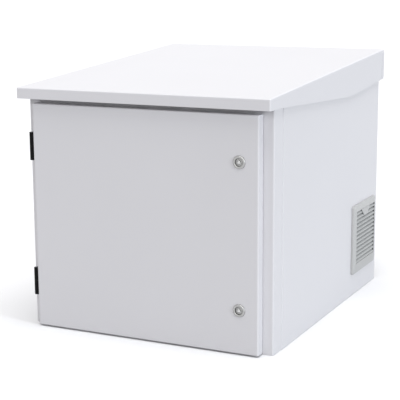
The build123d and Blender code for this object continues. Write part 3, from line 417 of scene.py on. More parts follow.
# %% Finish of each material slot
finishes = {
    "cabinet_paint": coat,
    "zinc_sheet": zinc,
    "fastener_steel": plated("zinc_plating", (190, 194, 200), (212, 210, 202), 0.004, 0.16, 0.0004),
    "hinge_black": cast_black("black_die_casting", 0.40, 0.0007),
    "lock_metal": plated("satin_nickel", (176, 176, 176), (190, 190, 189), 0.006, 0.12, 0.0005),
    "washer_plastic": moulded("dark_nylon", (16, 16, 17), (26, 26, 28), 0.40),
    "gasket_foam": foam,
    "grommet_rubber": rubber,
    # painted shade: the vent frame's plastic is darker than the cover's, for the shade it sits in behind the
    # cover
    "vent_plastic": moulded("vent_plastic", (150, 152, 154), (164, 166, 168), 0.48),
    "filter_fleece": fleece,
    "fan_body": cast_black("painted_aluminium", 0.34, 0.0016),
    "fan_blades": moulded("black_plastic", (20, 20, 22), (34, 34, 36), 0.30),
    "guard_wire": chrome,
    "brass": brass,
}
slot_of = {part["node"]: part["material_slot"] for part in frame["record"]["subparts"]}
bodies = frame["record"]["behaviour"]["bodies"].items()
body_of = {node: body for body, nodes in bodies for node in nodes}
for name, node in frame["nodes"].items():
    node.data.materials.clear()
    node.data.materials.append(finishes[slot_of[name]].material)
print("finishes:", len(finishes), "on", len(slot_of), "nodes")

plain = Finish("studio_floor", Specular_IOR_Level=0.0, Roughness=1.0)
seen_by_camera, seen_in_metal = (plain.node("ShaderNodeLightPath", output=ray) for ray in rays[:2])
plain.wear(Base_Color=plain.mix(seen_by_camera | seen_in_metal, floor_bounce, floor_seen))
floor.data.materials.append(plain.material)

# %% [markdown]
# ## Modelling helpers
#
# The finer pieces are built in millimetres, like the solids they stand for, and shrunk to metres at
# the very end. Nearly everything on this cabinet is either a block with rounded edges or a turned
# shape, so the first helpers make those. Others draw a face out, cut one shape with another by a
# Boolean that is applied at once, and stamp copies. The last one turns the result into a piece
# that rides on its body.

# %% Places and measures
millimetre = 0.001
at_origin = Matrix.Identity(4)


def box_mm(node):
    """The corners of a CAD node in millimetres."""
    low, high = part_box(node)
    return low / millimetre, high / millimetre


def middle_mm(node):
    """The middle of a CAD node in millimetres."""
    low, high = box_mm(node)
    return (low + high) / 2


def on_axis(node, depth):
    """The point on a node's own axis along Y at a given Y."""
    spot = middle_mm(node)
    spot.y = depth
    return spot


def facing(centre, direction):
    """The placement that takes a shape from the origin to a centre and turns its +Z to a direction."""
    return Matrix.Translation(centre) @ Vector(direction).to_track_quat("Z", "Y").to_matrix().to_4x4()


def lying(verts, axis, place):
    """Those of the vertices that lie at one place along an axis."""
    return [vert for vert in verts if abs(getattr(vert.co, axis) - place) < 0.1]


def edges_among(verts, direction=None):
    """The edges between the given vertices, or only those that run in a direction."""
    inside = set(verts)
    found = {edge for vert in inside for edge in vert.link_edges}
    found = [edge for edge in found if inside.issuperset(edge.verts)]
    if direction is None:
        return found
    direction = Vector(direction)
    run = {edge: (edge.verts[1].co - edge.verts[0].co).normalized() for edge in found}
    return [edge for edge in found if abs(run[edge].dot(direction)) > 0.999]


# %% Blocks, rods and turned shapes
def face_out(bm):
    bmesh.ops.recalc_face_normals(bm, faces=bm.faces)


def block(bm, low, high):
    """Adds a box between two corners and returns its vertices."""
    low, high = Vector(low), Vector(high)
    place = Matrix.Translation((low + high) / 2) @ Matrix.Diagonal((*(high - low), 1))
    return bmesh.ops.create_cube(bm, size=1, matrix=place)["verts"]


def cone(bm, foot_radius, top_radius, place, height, sides):
    """Adds a closed cone or prism with its middle at a placement."""
    shape = {"radius1": foot_radius, "radius2": top_radius, "depth": height, "segments": sides}
    bmesh.ops.create_cone(bm, cap_ends=True, matrix=place, **shape)


def rod(bm, start, end, radius, sides=24):
    """Adds a closed cylinder between two points."""
    start, end = Vector(start), Vector(end)
    cone(bm, radius, radius, facing((start + end) / 2, end - start), (end - start).length, sides)


def spun(bm, parts, steps):
    """Spins wires once round the origin's Z and welds them into a closed shape."""
    whole = {"axis": (0, 0, 1), "angle": math.tau, "steps": steps, "use_merge": True}
    bmesh.ops.spin(bm, geom=parts, cent=(0, 0, 0), **whole)
    bmesh.ops.remove_doubles(bm, verts=bm.verts, dist=0.0005)
    face_out(bm)


def turned(bm, profile, place=at_origin, steps=48):
    """Spins a profile of (radius, height) round the placement's own Z into a closed shape."""
    ring = [bm.verts.new((radius, 0, height)) for radius, height in profile]
    spun(bm, ring + [bm.edges.new(pair) for pair in zip(ring, ring[1:])], steps)
    bmesh.ops.transform(bm, matrix=place, verts=bm.verts)


# %% Rounding, drawing out, cutting and stamping
def round_off(bm, parts, radius, steps=4, affect="EDGES"):
    """Rounds edges, or the corners of a flat face, to a radius."""
    curve = {"offset_type": "OFFSET", "profile": 0.5, "material": -1}
    bmesh.ops.bevel(bm, geom=parts, offset=radius, segments=steps, affect=affect, **curve)


def drawn(bm, faces, move):
    """Extrudes faces by a vector and returns the vertices at their new place."""
    grown = bmesh.ops.extrude_face_region(bm, geom=faces)["geom"]
    end = [part for part in grown if isinstance(part, bmesh.types.BMVert)]
    bmesh.ops.translate(bm, vec=move, verts=end)
    return end


def carved(bm, tool, operation="DIFFERENCE"):
    """The first shape with the second cut out of it, joined to it, or kept only where both are."""
    shape, cutter = as_object(bm), as_object(tool)
    boolean = shape.modifiers.new("boolean", "BOOLEAN")
    boolean.operation = operation
    boolean.solver = "EXACT"
    boolean.object = cutter
    result = bmesh.new()
    result.from_object(shape, bpy.context.evaluated_depsgraph_get())
    for passing in (shape, cutter):
        bpy.data.meshes.remove(passing.data)
    bmesh.ops.remove_doubles(result, verts=result.verts, dist=0.001)
    return result


def stamped(bm, template, places=(at_origin,)):
    """Adds a copy of a template at each placement."""
    passing = as_object(template).data
    for place in places:
        passing.transform(place)
        bm.from_mesh(passing)
        passing.transform(place.inverted())
    bpy.data.meshes.remove(passing)


# %% Turning a bmesh into a piece
def piece(name, bm, node, soft_edge=0.0, crease=32, finish=None):
    """Makes a bmesh in millimetres a piece in place of a CAD node, on the body that has the node."""
    slot = slot_of[node]
    bmesh.ops.scale(bm, vec=(millimetre,) * 3, verts=bm.verts)
    made = as_object(bm, name)
    mesh = made.data
    mesh.shade_smooth()
    mesh.set_sharp_from_angle(angle=math.radians(crease))
    mesh.materials.append((finish or finishes[slot]).material)
    if soft_edge:
        bevel = made.modifiers.new("soft_edge", "BEVEL")
        bevel.width = soft_edge * millimetre
        bevel.segments = 2
        bevel.limit_method = "ANGLE"
        bevel.angle_limit = math.radians(crease)
        bevel.harden_normals = True
    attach(made, body_of[node])
    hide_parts(node)
    size = [round(side / millimetre, 1) for side in made.dimensions]
    print("piece:", name, "faces", len(mesh.polygons), "size", size)
    return made


# %% [markdown]
# ## The quarter-turn locks
#
# Each lock is a turned die casting: a flange with a soft rim that lies on the door, a well in its
# middle, and down in the well a triangular stub for the key. A turned profile gives the flange, the
# well and the ridges of the thread behind them in one spin. The stub turns with the lock, so it is
# a piece of its own on the lock's body: a round core with a three-sided prism on it, its corners
# rounded.

# %% Lock housings
lock_flange_radius, lock_flange_rise = 14.25, 2.2
lock_thread_radius, lock_bore_radius, lock_length = 11.0, 9.0, 14.0
thread_start, thread_end, thread_pitch, thread_depth = 1.6, 0.8, 1.5, 0.6
lock_names = ("upper_lock", "lower_lock")


def lock_housing(name):
    inner, flange, rise = lock_bore_radius, lock_flange_radius, lock_flange_rise
    groove = lock_thread_radius - thread_depth
    profile = [
        (inner, -lock_length),
        (inner, rise - 0.9),
        (inner + 0.25, rise - 0.3),
        (inner + 0.8, rise),
        (flange - 2.6, rise),
        (flange - 1.5, rise - 0.2),
        (flange - 0.6, rise - 0.75),
        (flange - 0.1, rise - 1.5),
        (flange, 0.0),
        (lock_thread_radius, 0.0),
        (lock_thread_radius, -thread_start),
    ]
    for turn in range(int((lock_length - thread_start - thread_end) / thread_pitch)):
        start = -thread_start - turn * thread_pitch
        profile += [(groove, start - thread_pitch / 2), (lock_thread_radius, start - thread_pitch)]
    profile += [(groove, -lock_length), profile[0]]
    bm = bmesh.new()
    node = f"{name}_housing"
    turned(bm, profile, facing(on_axis(node, box_mm(node)[1].y - lock_length), (0, -1, 0)))
    piece(f"{name}_turned_housing", bm, node, finish=housing_finish)


lock_front = box_mm("upper_lock_housing")[0].y
flange_foot, flange_face = lock_front + lock_flange_rise - 0.3, lock_front + 0.6
# painted shade: the housing's colour darkens from the flange's face down to its foot on the door
housing_finish = nickel_with_painted_shade(flange_foot * millimetre, flange_face * millimetre, 90, 170)
for name in lock_names:
    lock_housing(name)

# %% Lock cores with their triangular stubs
well_depth = 3.2
stub_radius, stub_corner, stub_recess, stub_root = 5.35, 0.7, 0.5, 0.5
running_gap, collar_thickness, square_half = 0.05, 2.0, 4.0


def lock_core(name):
    low, high = box_mm(f"{name}_housing")
    middle = on_axis(f"{name}_housing", low.y + well_depth)
    back = high.y - middle.y + running_gap
    outer = lock_bore_radius - running_gap
    profile = [
        (0, 0),
        (outer - 1.4, 0),
        (outer - 1.1, 0.4),
        (outer, 0.4),
        (outer, back),
        (lock_thread_radius, back),
        (lock_thread_radius, back + collar_thickness),
        (0, back + collar_thickness),
    ]
    bm = bmesh.new()
    turned(bm, profile, facing(middle, (0, 1, 0)))
    end = box_mm(f"{name}_spindle")[1].y
    left, right = middle.x - square_half, middle.x + square_half
    block(bm, (left, high.y + 1, middle.z - square_half), (right, end, middle.z + square_half))
    root = middle + Vector((0, stub_root, 0))
    triangle = {"segments": 3, "radius": stub_radius, "matrix": facing(root, (0, -1, 0))}
    foot = bmesh.ops.create_circle(bm, cap_ends=True, **triangle)["verts"]
    top = drawn(bm, foot[0].link_faces[:], (0, stub_recess - stub_root - well_depth, 0))
    round_off(bm, edges_among(foot + top, (0, 1, 0)) + edges_among(top), stub_corner, 3)
    face_out(bm)
    piece(f"{name}_key_core", bm, f"{name}_spindle", finish=core_finish)


well_floor, stub_face = lock_front + well_depth, lock_front + stub_recess
# painted shade: the core's colour darkens from the stub's face down to the floor of the well
core_finish = nickel_with_painted_shade(well_floor * millimetre, stub_face * millimetre, 146, 202)
for name in lock_names:
    lock_core(name)

# %% [markdown]
# ## The hinges
#
# A die-cast hinge has two halves that meet at a nylon washer. The lower half stands on the body's
# front frame and its knuckle runs straight back into a foot. The upper half reaches round the
# door's edge to a pad on the folded return. Each outline is a block whose edges are rounded by the
# knuckle's radius, which makes a true half round, and the pad is joined by a Boolean.

# %% Hinge halves
knuckle_radius = 6.0
half_round = knuckle_radius - 0.01  # a hair less, or the two roundings would meet
hinge_soft_edge = 0.8
pad_reach, pad_corner = 7.5, 2.5
hinge_names = ("upper_hinge", "lower_hinge")


def hinge_body_half(name):
    low, high = box_mm(f"{name}_body_half")
    bm = bmesh.new()
    front = lying(block(bm, low, high), "y", low.y)
    round_off(bm, edges_among(front, (0, 0, 1)), half_round, 12)
    piece(f"{name}_foot_casting", bm, f"{name}_body_half", hinge_soft_edge)


def hinge_door_half(name):
    low, high = box_mm(f"{name}_door_half")
    bm = bmesh.new()
    outer = lying(block(bm, low, (high.x, low.y + 2 * knuckle_radius, high.z)), "x", low.x)
    round_off(bm, edges_among(outer, (0, 0, 1)), half_round, 12)
    pad = bmesh.new()
    rear = lying(block(pad, (high.x - pad_reach, low.y + knuckle_radius, low.z), high), "y", high.y)
    round_off(pad, edges_among(lying(rear, "x", high.x - pad_reach), (0, 0, 1)), pad_corner)
    bm = carved(bm, pad, "UNION")
    piece(f"{name}_door_casting", bm, f"{name}_door_half", hinge_soft_edge)


for name in hinge_names:
    hinge_body_half(name)
    hinge_door_half(name)

# %% [markdown]
# ## The vent cover
#
# The cover is one thin moulding: a rounded rim, a border that slopes up to a narrow window frame,
# thirteen tilted louvres and a finger tab at the top. One rounded face, drawn out and inset twice,
# gives rim, border and frame. Dropping the faces at the back and in the window leaves a skin, which
# then gets its wall thickness. The louvres are leaning blocks with soft edges, and the tab is a
# flat one that narrows downwards. At the foot, two notches make room for the frame's ears, and a
# boss with a pin stands at each side of a notch.

# %% The cover's skin
cover_low, cover_high = box_mm("vent_cover")
cover_side, cover_middle = cover_high.y - cover_low.y, middle_mm("vent_cover")
cover_rim, cover_wall, cover_corner = 4.5, 1.8, 6.0
border_side, border_top, border_foot = 14.0, 14.0, 25.0
window_frame = 1.5
axis_rise, axis_out = 2.0, 2.0
window_low = Vector((cover_low.x, cover_low.y + border_side, cover_low.z + border_foot))
window_high = Vector((cover_high.x, cover_high.y - border_side, cover_high.z - border_top))


def rounded_face(bm, place, width, height, corner, steps=6):
    """Adds a flat rounded rectangle across a placement's Z and returns its face."""
    sides = place @ Matrix.Diagonal((width, height, 1, 1))
    grid = bmesh.ops.create_grid(bm, x_segments=1, y_segments=1, size=0.5, matrix=sides)
    round_off(bm, grid["verts"], corner, steps, "VERTICES")
    return max(bm.faces, key=lambda face: face.calc_area())


def cover_shell():
    bm = bmesh.new()
    back = (cover_low.x, cover_middle.y, cover_middle.z)
    outline = rounded_face(bm, facing(back, (1, 0, 0)), cover_side, cover_side, cover_corner, 10)
    drawn(bm, [outline], (cover_rim, 0, 0))
    front = max(bm.faces, key=lambda face: face.calc_center_median().x)
    bmesh.ops.inset_region(bm, faces=[front], thickness=cover_corner / 2)
    spread = [vert.co.y for vert in front.verts]
    shares = (window_high - window_low) / (max(spread) - min(spread))
    to_middle = Matrix.Translation(-cover_middle)
    bmesh.ops.scale(bm, vec=(1, shares.y, shares.z), space=to_middle, verts=front.verts[:])
    move = (window_low + window_high) / 2 - cover_middle
    move.x = cover_high.x - cover_low.x - cover_rim
    bmesh.ops.translate(bm, vec=move, verts=front.verts[:])
    bmesh.ops.inset_region(bm, faces=[front], thickness=window_frame)
    dropped = [face for face in bm.faces if len(face.verts) > 4]
    bmesh.ops.delete(bm, geom=dropped, context="FACES")
    face_out(bm)
    everything = bm.verts[:] + bm.edges[:] + bm.faces[:]
    foot, below = (cover_low.x, 0, cover_low.z + axis_rise), (-1, 0, -axis_out / axis_rise)
    bmesh.ops.bisect_plane(bm, geom=everything, plane_co=foot, plane_no=below, clear_outer=True)
    bmesh.ops.solidify(bm, geom=bm.faces[:], thickness=cover_wall)
    return bm


# %% Louvres, finger tab and hinge bosses
louvre_count, louvre_thickness, louvre_gap, louvre_overlap = 13, 1.6, 2.6, 0.75
louvre_back, louvre_corner, louvre_crest = cover_low.x + 1.3, 0.5, cover_high.x - 2.5
louvre_pitch = (window_high.z - window_low.z - 2 * window_frame) / louvre_count
tab_top_width, tab_foot_width, tab_drop = 70.0, 22.0, 21.0
tab_corner, tab_edge = 3.5, 0.6
ear_spread, ear_half, ear_gap = 110.0, 3.0, 0.3
boss_radius, boss_length, boss_room = 1.8, 5.0, 0.5
hinge_pin_radius, hinge_pin_length = 1.0, 2.2


def louvre(bm, middle):
    rise = (louvre_pitch - louvre_gap) / 2
    end = window_frame - louvre_overlap
    low = (louvre_back, window_low.y + end, middle - rise)
    verts = block(bm, low, (louvre_back + louvre_thickness, window_high.y - end, middle + rise))
    lean = cover_high.x - louvre_thickness - louvre_back
    bmesh.ops.translate(bm, vec=(lean, 0, 0), verts=lying(verts, "z", middle - rise))
    round_off(bm, edges_among(verts, (0, 1, 0)), louvre_corner, 3)


def finger_tab(bm):
    middle = (window_low.y + window_high.y) / 2
    top, foot = window_high.z - 0.2, window_high.z - tab_drop
    low = (cover_high.x - louvre_thickness, middle - tab_top_width / 2, foot)
    lower = lying(block(bm, low, (cover_high.x, middle + tab_top_width / 2, top)), "z", foot)
    shares = (1, tab_foot_width / tab_top_width, 1)
    bmesh.ops.scale(bm, vec=shares, space=Matrix.Translation((0, -middle, 0)), verts=lower)
    round_off(bm, edges_among(lower, (1, 0, 0)), tab_corner, 5)
    outer = lying(bm.verts, "x", cover_high.x)
    at_top = set(edges_among(lying(outer, "z", top)))
    round_off(bm, [edge for edge in edges_among(outer) if edge not in at_top], tab_edge, 3)


axis_x, axis_z = cover_low.x + axis_out, cover_low.z + axis_rise
ears = [cover_middle.y + end * ear_spread / 2 for end in (-1, 1)]
notches = bmesh.new()
reach = ear_half + ear_gap
for ear in ears:
    rod(notches, (axis_x, ear - reach, axis_z), (axis_x, ear + reach, axis_z), boss_radius + boss_room)
cover = carved(cover_shell(), notches)

louvres = bmesh.new()
for row in range(louvre_count):
    louvre(louvres, window_low.z + window_frame + louvre_pitch * (row + 0.5))
# painted shade on the louvres, darkest at their back edge
louvre_finish = louvre_plastic_painted_shade(louvre_back * millimetre, louvre_crest * millimetre)
piece("vent_louvres", louvres, "vent_cover", crease=50, finish=louvre_finish)

tab = bmesh.new()
finger_tab(tab)
stamped(cover, tab)
for ear in ears:
    for side in (-1, 1):
        foot = Vector((axis_x, ear + side * reach, axis_z))
        rod(cover, foot, foot + Vector((0, side * boss_length, 0)), boss_radius)
        rod(cover, foot, foot - Vector((0, side * hinge_pin_length, 0)), hinge_pin_radius)
cover_finish = moulded("vent_cover_plastic", (180, 180, 179), (191, 191, 190), 0.48)
piece("vent_cover_frame", cover, "vent_cover", 0.35, crease=9, finish=cover_finish)

# %% [markdown]
# ## Soft seals, grommets and the filter
#
# The door's foam bead is a ring with a crowned top: a rounded rectangle with its middle inset and
# dropped, drawn out to its height, and its two top rims rounded. The seal under the gland plate is
# the same ring, only flatter. The blind grommets are turned rubber cups with stepped noses, which
# an installer cuts at the step that fits the cable. The filter is a fleece pad: a subdivided block
# whose faces are pushed about by noise, so that it looks like laid fibre and not like board.

# %% Foam rings
bead_width, bead_corner, bead_crown = 12.0, 12.5, 4.5
seal_width, seal_corner, seal_crown = 14.5, 15.0, 0.6


def foam_ring(name, node, axis, width, corner, crown):
    """A ring as large as a CAD node, drawn out along X, Y or Z (0, 1 or 2)."""
    low, high = box_mm(node)
    size = high - low
    rise = Vector((0, 0, 0))
    rise[axis] = size[axis]
    bm = bmesh.new()
    place = facing((low + high - rise) / 2, rise)
    outline = rounded_face(bm, place, size.x, size.z if axis == 1 else size.y, corner)
    bmesh.ops.inset_region(bm, faces=[outline], thickness=width, use_boundary=True)
    bmesh.ops.delete(bm, geom=[outline], context="FACES")
    top = drawn(bm, bm.faces[:], rise)
    rims = [edge for edge in edges_among(top) if len(edge.link_faces) == 2 and edge.calc_face_angle(0) > 1]
    round_off(bm, rims, crown)
    face_out(bm)
    piece(name, bm, node, crease=50)


foam_ring("door_seal_bead", "door_gasket", 1, bead_width, bead_corner, bead_crown)
foam_ring("gland_seal", "gland_plate_gasket", 2, seal_width, seal_corner, seal_crown)

# %% Blind cable grommets
plate_low, plate_middle, plate_thickness = box_mm("gland_plate")[0], middle_mm("gland_plate"), 2.0
grommet_flange, grommet_brim, nose_steps = 1.6, 3.0, 3
large_radius, large_pitch = 16.0, 64.0
small_radius, small_pitch = 10.0, 48.0
row_offset = 28.0


def grommet_template(radius):
    brim = radius + grommet_brim
    cone_radius = radius * 0.7
    nose_foot = plate_thickness + grommet_flange
    profile = [
        (0, 0.8 - grommet_flange),
        (radius - 2, 0.8 - grommet_flange),
        (radius - 1.2, -grommet_flange),
        (brim - 0.6, -grommet_flange),
        (brim, 0.6 - grommet_flange),
        (brim, 0),
        (radius, 0),
        (radius, plate_thickness),
        (brim, plate_thickness),
        (brim, plate_thickness + 0.9),
        (brim - 0.7, nose_foot),
        (cone_radius + 0.6, nose_foot),
    ]
    rise = radius * 0.5 / nose_steps
    for step in range(nose_steps):
        foot = nose_foot + step * rise
        wall = cone_radius * (1 - 0.13 * step)
        profile += [(wall, foot + 0.4), (wall - 0.4, foot + rise - 0.5), (wall - 0.9, foot + rise)]
    template = bmesh.new()
    turned(template, profile + [(0, nose_foot + radius * 0.5)], steps=40)
    return template


grommets = bmesh.new()
rows = [(large_radius, large_pitch, (-1, 0, 1), -row_offset)]
rows += [(small_radius, small_pitch, (-1.5, -0.5, 0.5, 1.5), row_offset)]
for radius, pitch, numbers, offset in rows:
    spots = [(number * pitch, plate_middle.y + offset, plate_low.z) for number in numbers]
    stamped(grommets, grommet_template(radius), [Matrix.Translation(spot) for spot in spots])
piece("blind_grommets", grommets, "cable_grommets")

# %% Filter fleece
fleece_cell, fleece_depth, fleece_margin = 4.0, 0.7, 0.5
long_wave, short_wave = 9.0, 3.5
edge_start, edge_droop = 0.93, 18.0


def filter_pad():
    low, high = box_mm("filter_mat")
    centre = (low + high) / 2
    margin = Vector((fleece_margin,) * 3)
    bm = bmesh.new()
    block(bm, low + margin, high - margin)
    for longest, cuts in ((20, round((high.y - low.y) / fleece_cell)), (2 * fleece_cell, 2)):
        edges = [edge for edge in bm.edges if edge.calc_length() > longest]
        bmesh.ops.subdivide_edges(bm, edges=edges, cuts=cuts, use_grid_fill=True)
    for vert in bm.verts:
        push = noise.noise(vert.co / long_wave) + noise.noise(vert.co / short_wave) / 2
        out = max(abs(vert.co.y - centre.y), abs(vert.co.z - centre.z)) / ((high.y - low.y) / 2)
        side = 1 if vert.co.x > centre.x else -1
        vert.co.x += side * (push * fleece_depth / 2 - max(0, out - edge_start) * edge_droop)
        vert.co.x = min(max(vert.co.x, low.x), high.x)
    face_out(bm)
    return bm


pad = piece("filter_pad", filter_pad(), "filter_mat", crease=80)
softened = pad.modifiers.new("softened", "SUBSURF")
softened.levels = softened.render_levels = 1

# %% [markdown]
# ## Fan rotor and guard
#
# The fan looks out through the vent's frame, and shows when the filter is out or the door is open.
# One blade is grown from a curved wire at the hub: each step draws it outwards, turns it to a finer
# pitch and widens it. The blade gets its thickness, its tip is trimmed by a cylinder so that it
# runs close to the duct, and seven copies are turned round the axis. The guard is round wire: four
# rings spun from a small circle, four arms, and an eye at each screw.

# %% Rotor
fan_middle = middle_mm("fan_housing")
blade_count = 7
hub_radius, rotor_radius, rotor_depth = 29.0, 55.5, 20.0
root_chord, tip_chord = 25.6, 32.0
root_pitch, tip_pitch = 48.0, 28.0
blade_thickness, blade_camber, blade_steps = 1.8, 2.6, 6
blade_sink, tip_spare = 2.0, 2.0
shaft_radius, hub_wall = 3.0, 2.0
hub_inset = 4.0
hub_face = box_mm("fan_housing")[1].x - hub_inset


def fan_blade():
    """One blade along +X at the origin, its chord lying in the XY plane before it is pitched."""
    bm = bmesh.new()
    ends = [bm.verts.new((hub_radius - blade_sink, side * root_chord / 2, 0)) for side in (-1, 1)]
    bm.edges.new(ends)
    bmesh.ops.subdivide_edges(bm, edges=bm.edges[:], cuts=7)
    for vert in bm.verts:
        vert.co.z = blade_camber * (1 - (2 * vert.co.y / root_chord) ** 2)
    wire = bm.edges[:]
    bmesh.ops.rotate(bm, matrix=Matrix.Rotation(math.radians(root_pitch), 3, "X"), verts=bm.verts)
    widen = (tip_chord / root_chord) ** (1 / blade_steps)
    turn = Matrix.Rotation(math.radians((tip_pitch - root_pitch) / blade_steps), 3, "X")
    reach = (rotor_radius + tip_spare - hub_radius) / blade_steps
    for _ in range(blade_steps):
        grown = bmesh.ops.extrude_edge_only(bm, edges=wire)["geom"]
        wire = [part for part in grown if isinstance(part, bmesh.types.BMEdge)]
        verts = [part for part in grown if isinstance(part, bmesh.types.BMVert)]
        bmesh.ops.rotate(bm, matrix=turn, verts=verts)
        bmesh.ops.scale(bm, vec=(1, widen, widen), verts=verts)
        bmesh.ops.translate(bm, vec=(reach, 0, 0), verts=verts)
    face_out(bm)
    bmesh.ops.solidify(bm, geom=bm.faces[:], thickness=blade_thickness)
    face_out(bm)
    trim = bmesh.new()
    rod(trim, (0, 0, -rotor_depth), (0, 0, rotor_depth), rotor_radius, 96)
    return carved(bm, trim, "INTERSECT")


rotor = bmesh.new()
shaft_end = hub_face - box_mm("fan_rotor")[0].x
hub = [
    (0, 0),
    (hub_radius - 3, 0),
    (hub_radius - 0.9, 0.9),
    (hub_radius, 3),
    (hub_radius, rotor_depth),
    (hub_radius - hub_wall, rotor_depth),
    (hub_radius - hub_wall, rotor_depth - 2),
    (shaft_radius, rotor_depth - 2),
    (shaft_radius, shaft_end),
    (0, shaft_end),
]
turned(rotor, hub, facing((hub_face, fan_middle.y, fan_middle.z), (-1, 0, 0)), 64)
blade_plane = facing((hub_face - rotor_depth / 2, fan_middle.y, fan_middle.z), (-1, 0, 0))
turns = [Matrix.Rotation(math.tau * blade / blade_count, 4, "Z") for blade in range(blade_count)]
stamped(rotor, fan_blade(), [blade_plane @ turn for turn in turns])
piece("fan_impeller", rotor, "fan_rotor")

# %% Finger guard
guard_rings, wire_radius, duct_radius = 4, 1.0, 57.0
screw_half, screw_hole_radius = 52.5, 2.2
guard_plane = facing((middle_mm("fan_guard").x, fan_middle.y, fan_middle.z), (1, 0, 0))


def wire_ring(bm, radius, place):
    """Spins the wire's round section about the placement's Z."""
    section = bmesh.new()
    upright = Matrix.Translation((radius, 0, 0)) @ Matrix.Rotation(math.radians(90), 4, "X")
    bmesh.ops.create_circle(section, segments=12, radius=wire_radius, matrix=upright)
    spun(section, section.verts[:] + section.edges[:], 72)
    stamped(bm, section, [place])


guard = bmesh.new()
for ring in range(guard_rings):
    wire_ring(guard, duct_radius * (ring + 1) / guard_rings - wire_radius, guard_plane)
inner_ring = duct_radius / guard_rings - wire_radius
screw_reach = screw_half * math.sqrt(2)
eye_radius = screw_hole_radius + wire_radius
for quarter in range(4):
    turn = guard_plane @ Matrix.Rotation(math.radians(45 + 90 * quarter), 4, "Z")
    start, end = Vector((inner_ring, 0, 0)), Vector((screw_reach - eye_radius, 0, 0))
    rod(guard, turn @ start, turn @ end, wire_radius)
    wire_ring(guard, eye_radius, turn @ Matrix.Translation((screw_reach, 0, 0)))
piece("wire_guard", guard, "fan_guard")

# %% [markdown]
# ## Fasteners
#
# Two small templates cover every screw and nut on the cabinet. A hexagon is trimmed by a wide cone,
# which leaves the curved chamfer that a real nut has. A pan head is a turned dome with a cross cut
# into it. Each template stands at the origin with its outer face towards +Z, and is stamped at
# every place that needs it; screws and bolts get a plain shank first.

# %% Templates of heads and nuts
chamfer_share = 0.97
flange_thickness = 1.5
shank_overlap = 0.1


def hexagon(corner_radius, height, bore=0.0, washer_radius=0.0):
    """A nut or bolt head with its corners chamfered at the top."""
    bm = bmesh.new()
    cone(bm, corner_radius, corner_radius, Matrix.Translation((0, 0, height / 2)), height, 6)
    trim = bmesh.new()
    rim = corner_radius * math.cos(math.radians(30)) * chamfer_share
    depth = height * 3
    middle = Matrix.Translation((0, 0, height - depth / 2))
    cone(trim, rim + depth * math.sqrt(3), rim, middle, depth, 48)
    bm = carved(bm, trim, "INTERSECT")
    if bore:
        hole = bmesh.new()
        rod(hole, (0, 0, -1), (0, 0, height + 1), bore)
        bm = carved(bm, hole)
    if washer_radius:
        washer = bmesh.new()
        top, edge = flange_thickness, washer_radius
        ring = [(bore, 0), (edge, 0), (edge, top - 0.5), (edge - 0.6, top), (bore, top)]
        turned(washer, ring + ring[:1], Matrix.Translation((0, 0, -top)), 40)
        stamped(bm, washer)
    return bm


def pan_head(radius, height):
    """A domed head with a cross recess."""
    bm = bmesh.new()
    dome = [(0, 0), (radius, 0), (radius, height * 0.35), (radius * 0.93, height * 0.7)]
    dome += [(radius * 0.7, height * 0.93), (radius * 0.35, height), (0, height)]
    turned(bm, dome, steps=32)
    long, short = radius * 0.62, radius * 0.13
    for x, y in ((long, short), (short, long)):
        cross = bmesh.new()
        slot = block(cross, (-x, -y, height * 0.35), (x, y, height + 1))
        bmesh.ops.scale(cross, vec=(0.45, 0.45, 1), verts=lying(slot, "z", height * 0.35))
        bm = carved(bm, cross)
    return bm


def on_shank(head, radius, length):
    """Adds a plain shank behind a head."""
    rod(head, (0, 0, -length), (0, 0, shank_overlap), radius, 16)
    return head


def fasteners(name, node, template, spots, outwards):
    """Stamps a template at every spot, its outer face in one direction or in one for each spot."""
    ways = outwards if isinstance(outwards, list) else [outwards] * len(spots)
    bm = bmesh.new()
    stamped(bm, template, [facing(spot, way) for spot, way in zip(spots, ways)])
    piece(name, bm, node)


# %% Bolts, nuts and screws in their places
# Radii of the threads, and of the hexagons over their corners.
m4, m5, m6 = 2.0, 2.5, 3.0
m5_corner, m6_corner = 4.75, 5.7

bolt_head = 4.2
bolt_sides, bolt_rows = (-212.5, 212.5), (-250.0, 270.0)
head_low, shank_end = box_mm("canopy_bolts")
nuts_low, nuts_high = box_mm("canopy_nuts")
under_head = head_low.z + bolt_head
roof_bolt = on_shank(hexagon(m6_corner, bolt_head), m6, shank_end.z - under_head)
bolt_spots = [(x, y, under_head) for x in bolt_sides for y in bolt_rows]
fasteners("roof_bolts", "canopy_bolts", roof_bolt, bolt_spots, (0, 0, -1))
roof_nut = hexagon(m6_corner, nuts_high.z - nuts_low.z, m6)
nut_spots = [(x, y, nuts_low.z) for x, y, z in bolt_spots]
fasteners("roof_nuts", "canopy_nuts", roof_nut, nut_spots, (0, 0, 1))

rail_low, rail_high = box_mm("rack_rail_front_right")
rail_rear = box_mm("rack_rail_rear_right")[1].y
rail_inset, channel_half, rail_sheet = 22.0, 12.5, 2.0
rows = (rail_low.y + rail_inset, rail_rear - rail_inset)
levels = (rail_low.z + channel_half, rail_high.z - channel_half)
rail_ends = [(side, y, z) for side in (-1, 1) for y in rows for z in levels]
rail_screw, rail_nut = on_shank(pan_head(5.4, 3.0), m6, 10.8), hexagon(m6_corner, 4.8, m6)
inside_out = (("rail_pan_screws", "rail_screws", rail_screw, -1), ("rail_hex_nuts", "rail_nuts", rail_nut, 1))
for name, node, template, way in inside_out:
    spots = [(side * (rail_high.x + way * rail_sheet), y, z) for side, y, z in rail_ends]
    fasteners(name, node, template, spots, [(way * side, 0, 0) for side, y, z in rail_ends])

nut_sides, nut_rows = (-117.5, 0, 117.5), (-67.5, 67.5)
gland_low = box_mm("gland_plate_nuts")[0]
gland_middle = middle_mm("gland_plate_nuts")
gland_spots = [(x, gland_middle.y + y, gland_low.z) for x in nut_sides for y in nut_rows]
gland_nut = hexagon(m5_corner, 4.0, m5)
fasteners("gland_hex_nuts", "gland_plate_nuts", gland_nut, gland_spots, (0, 0, 1))

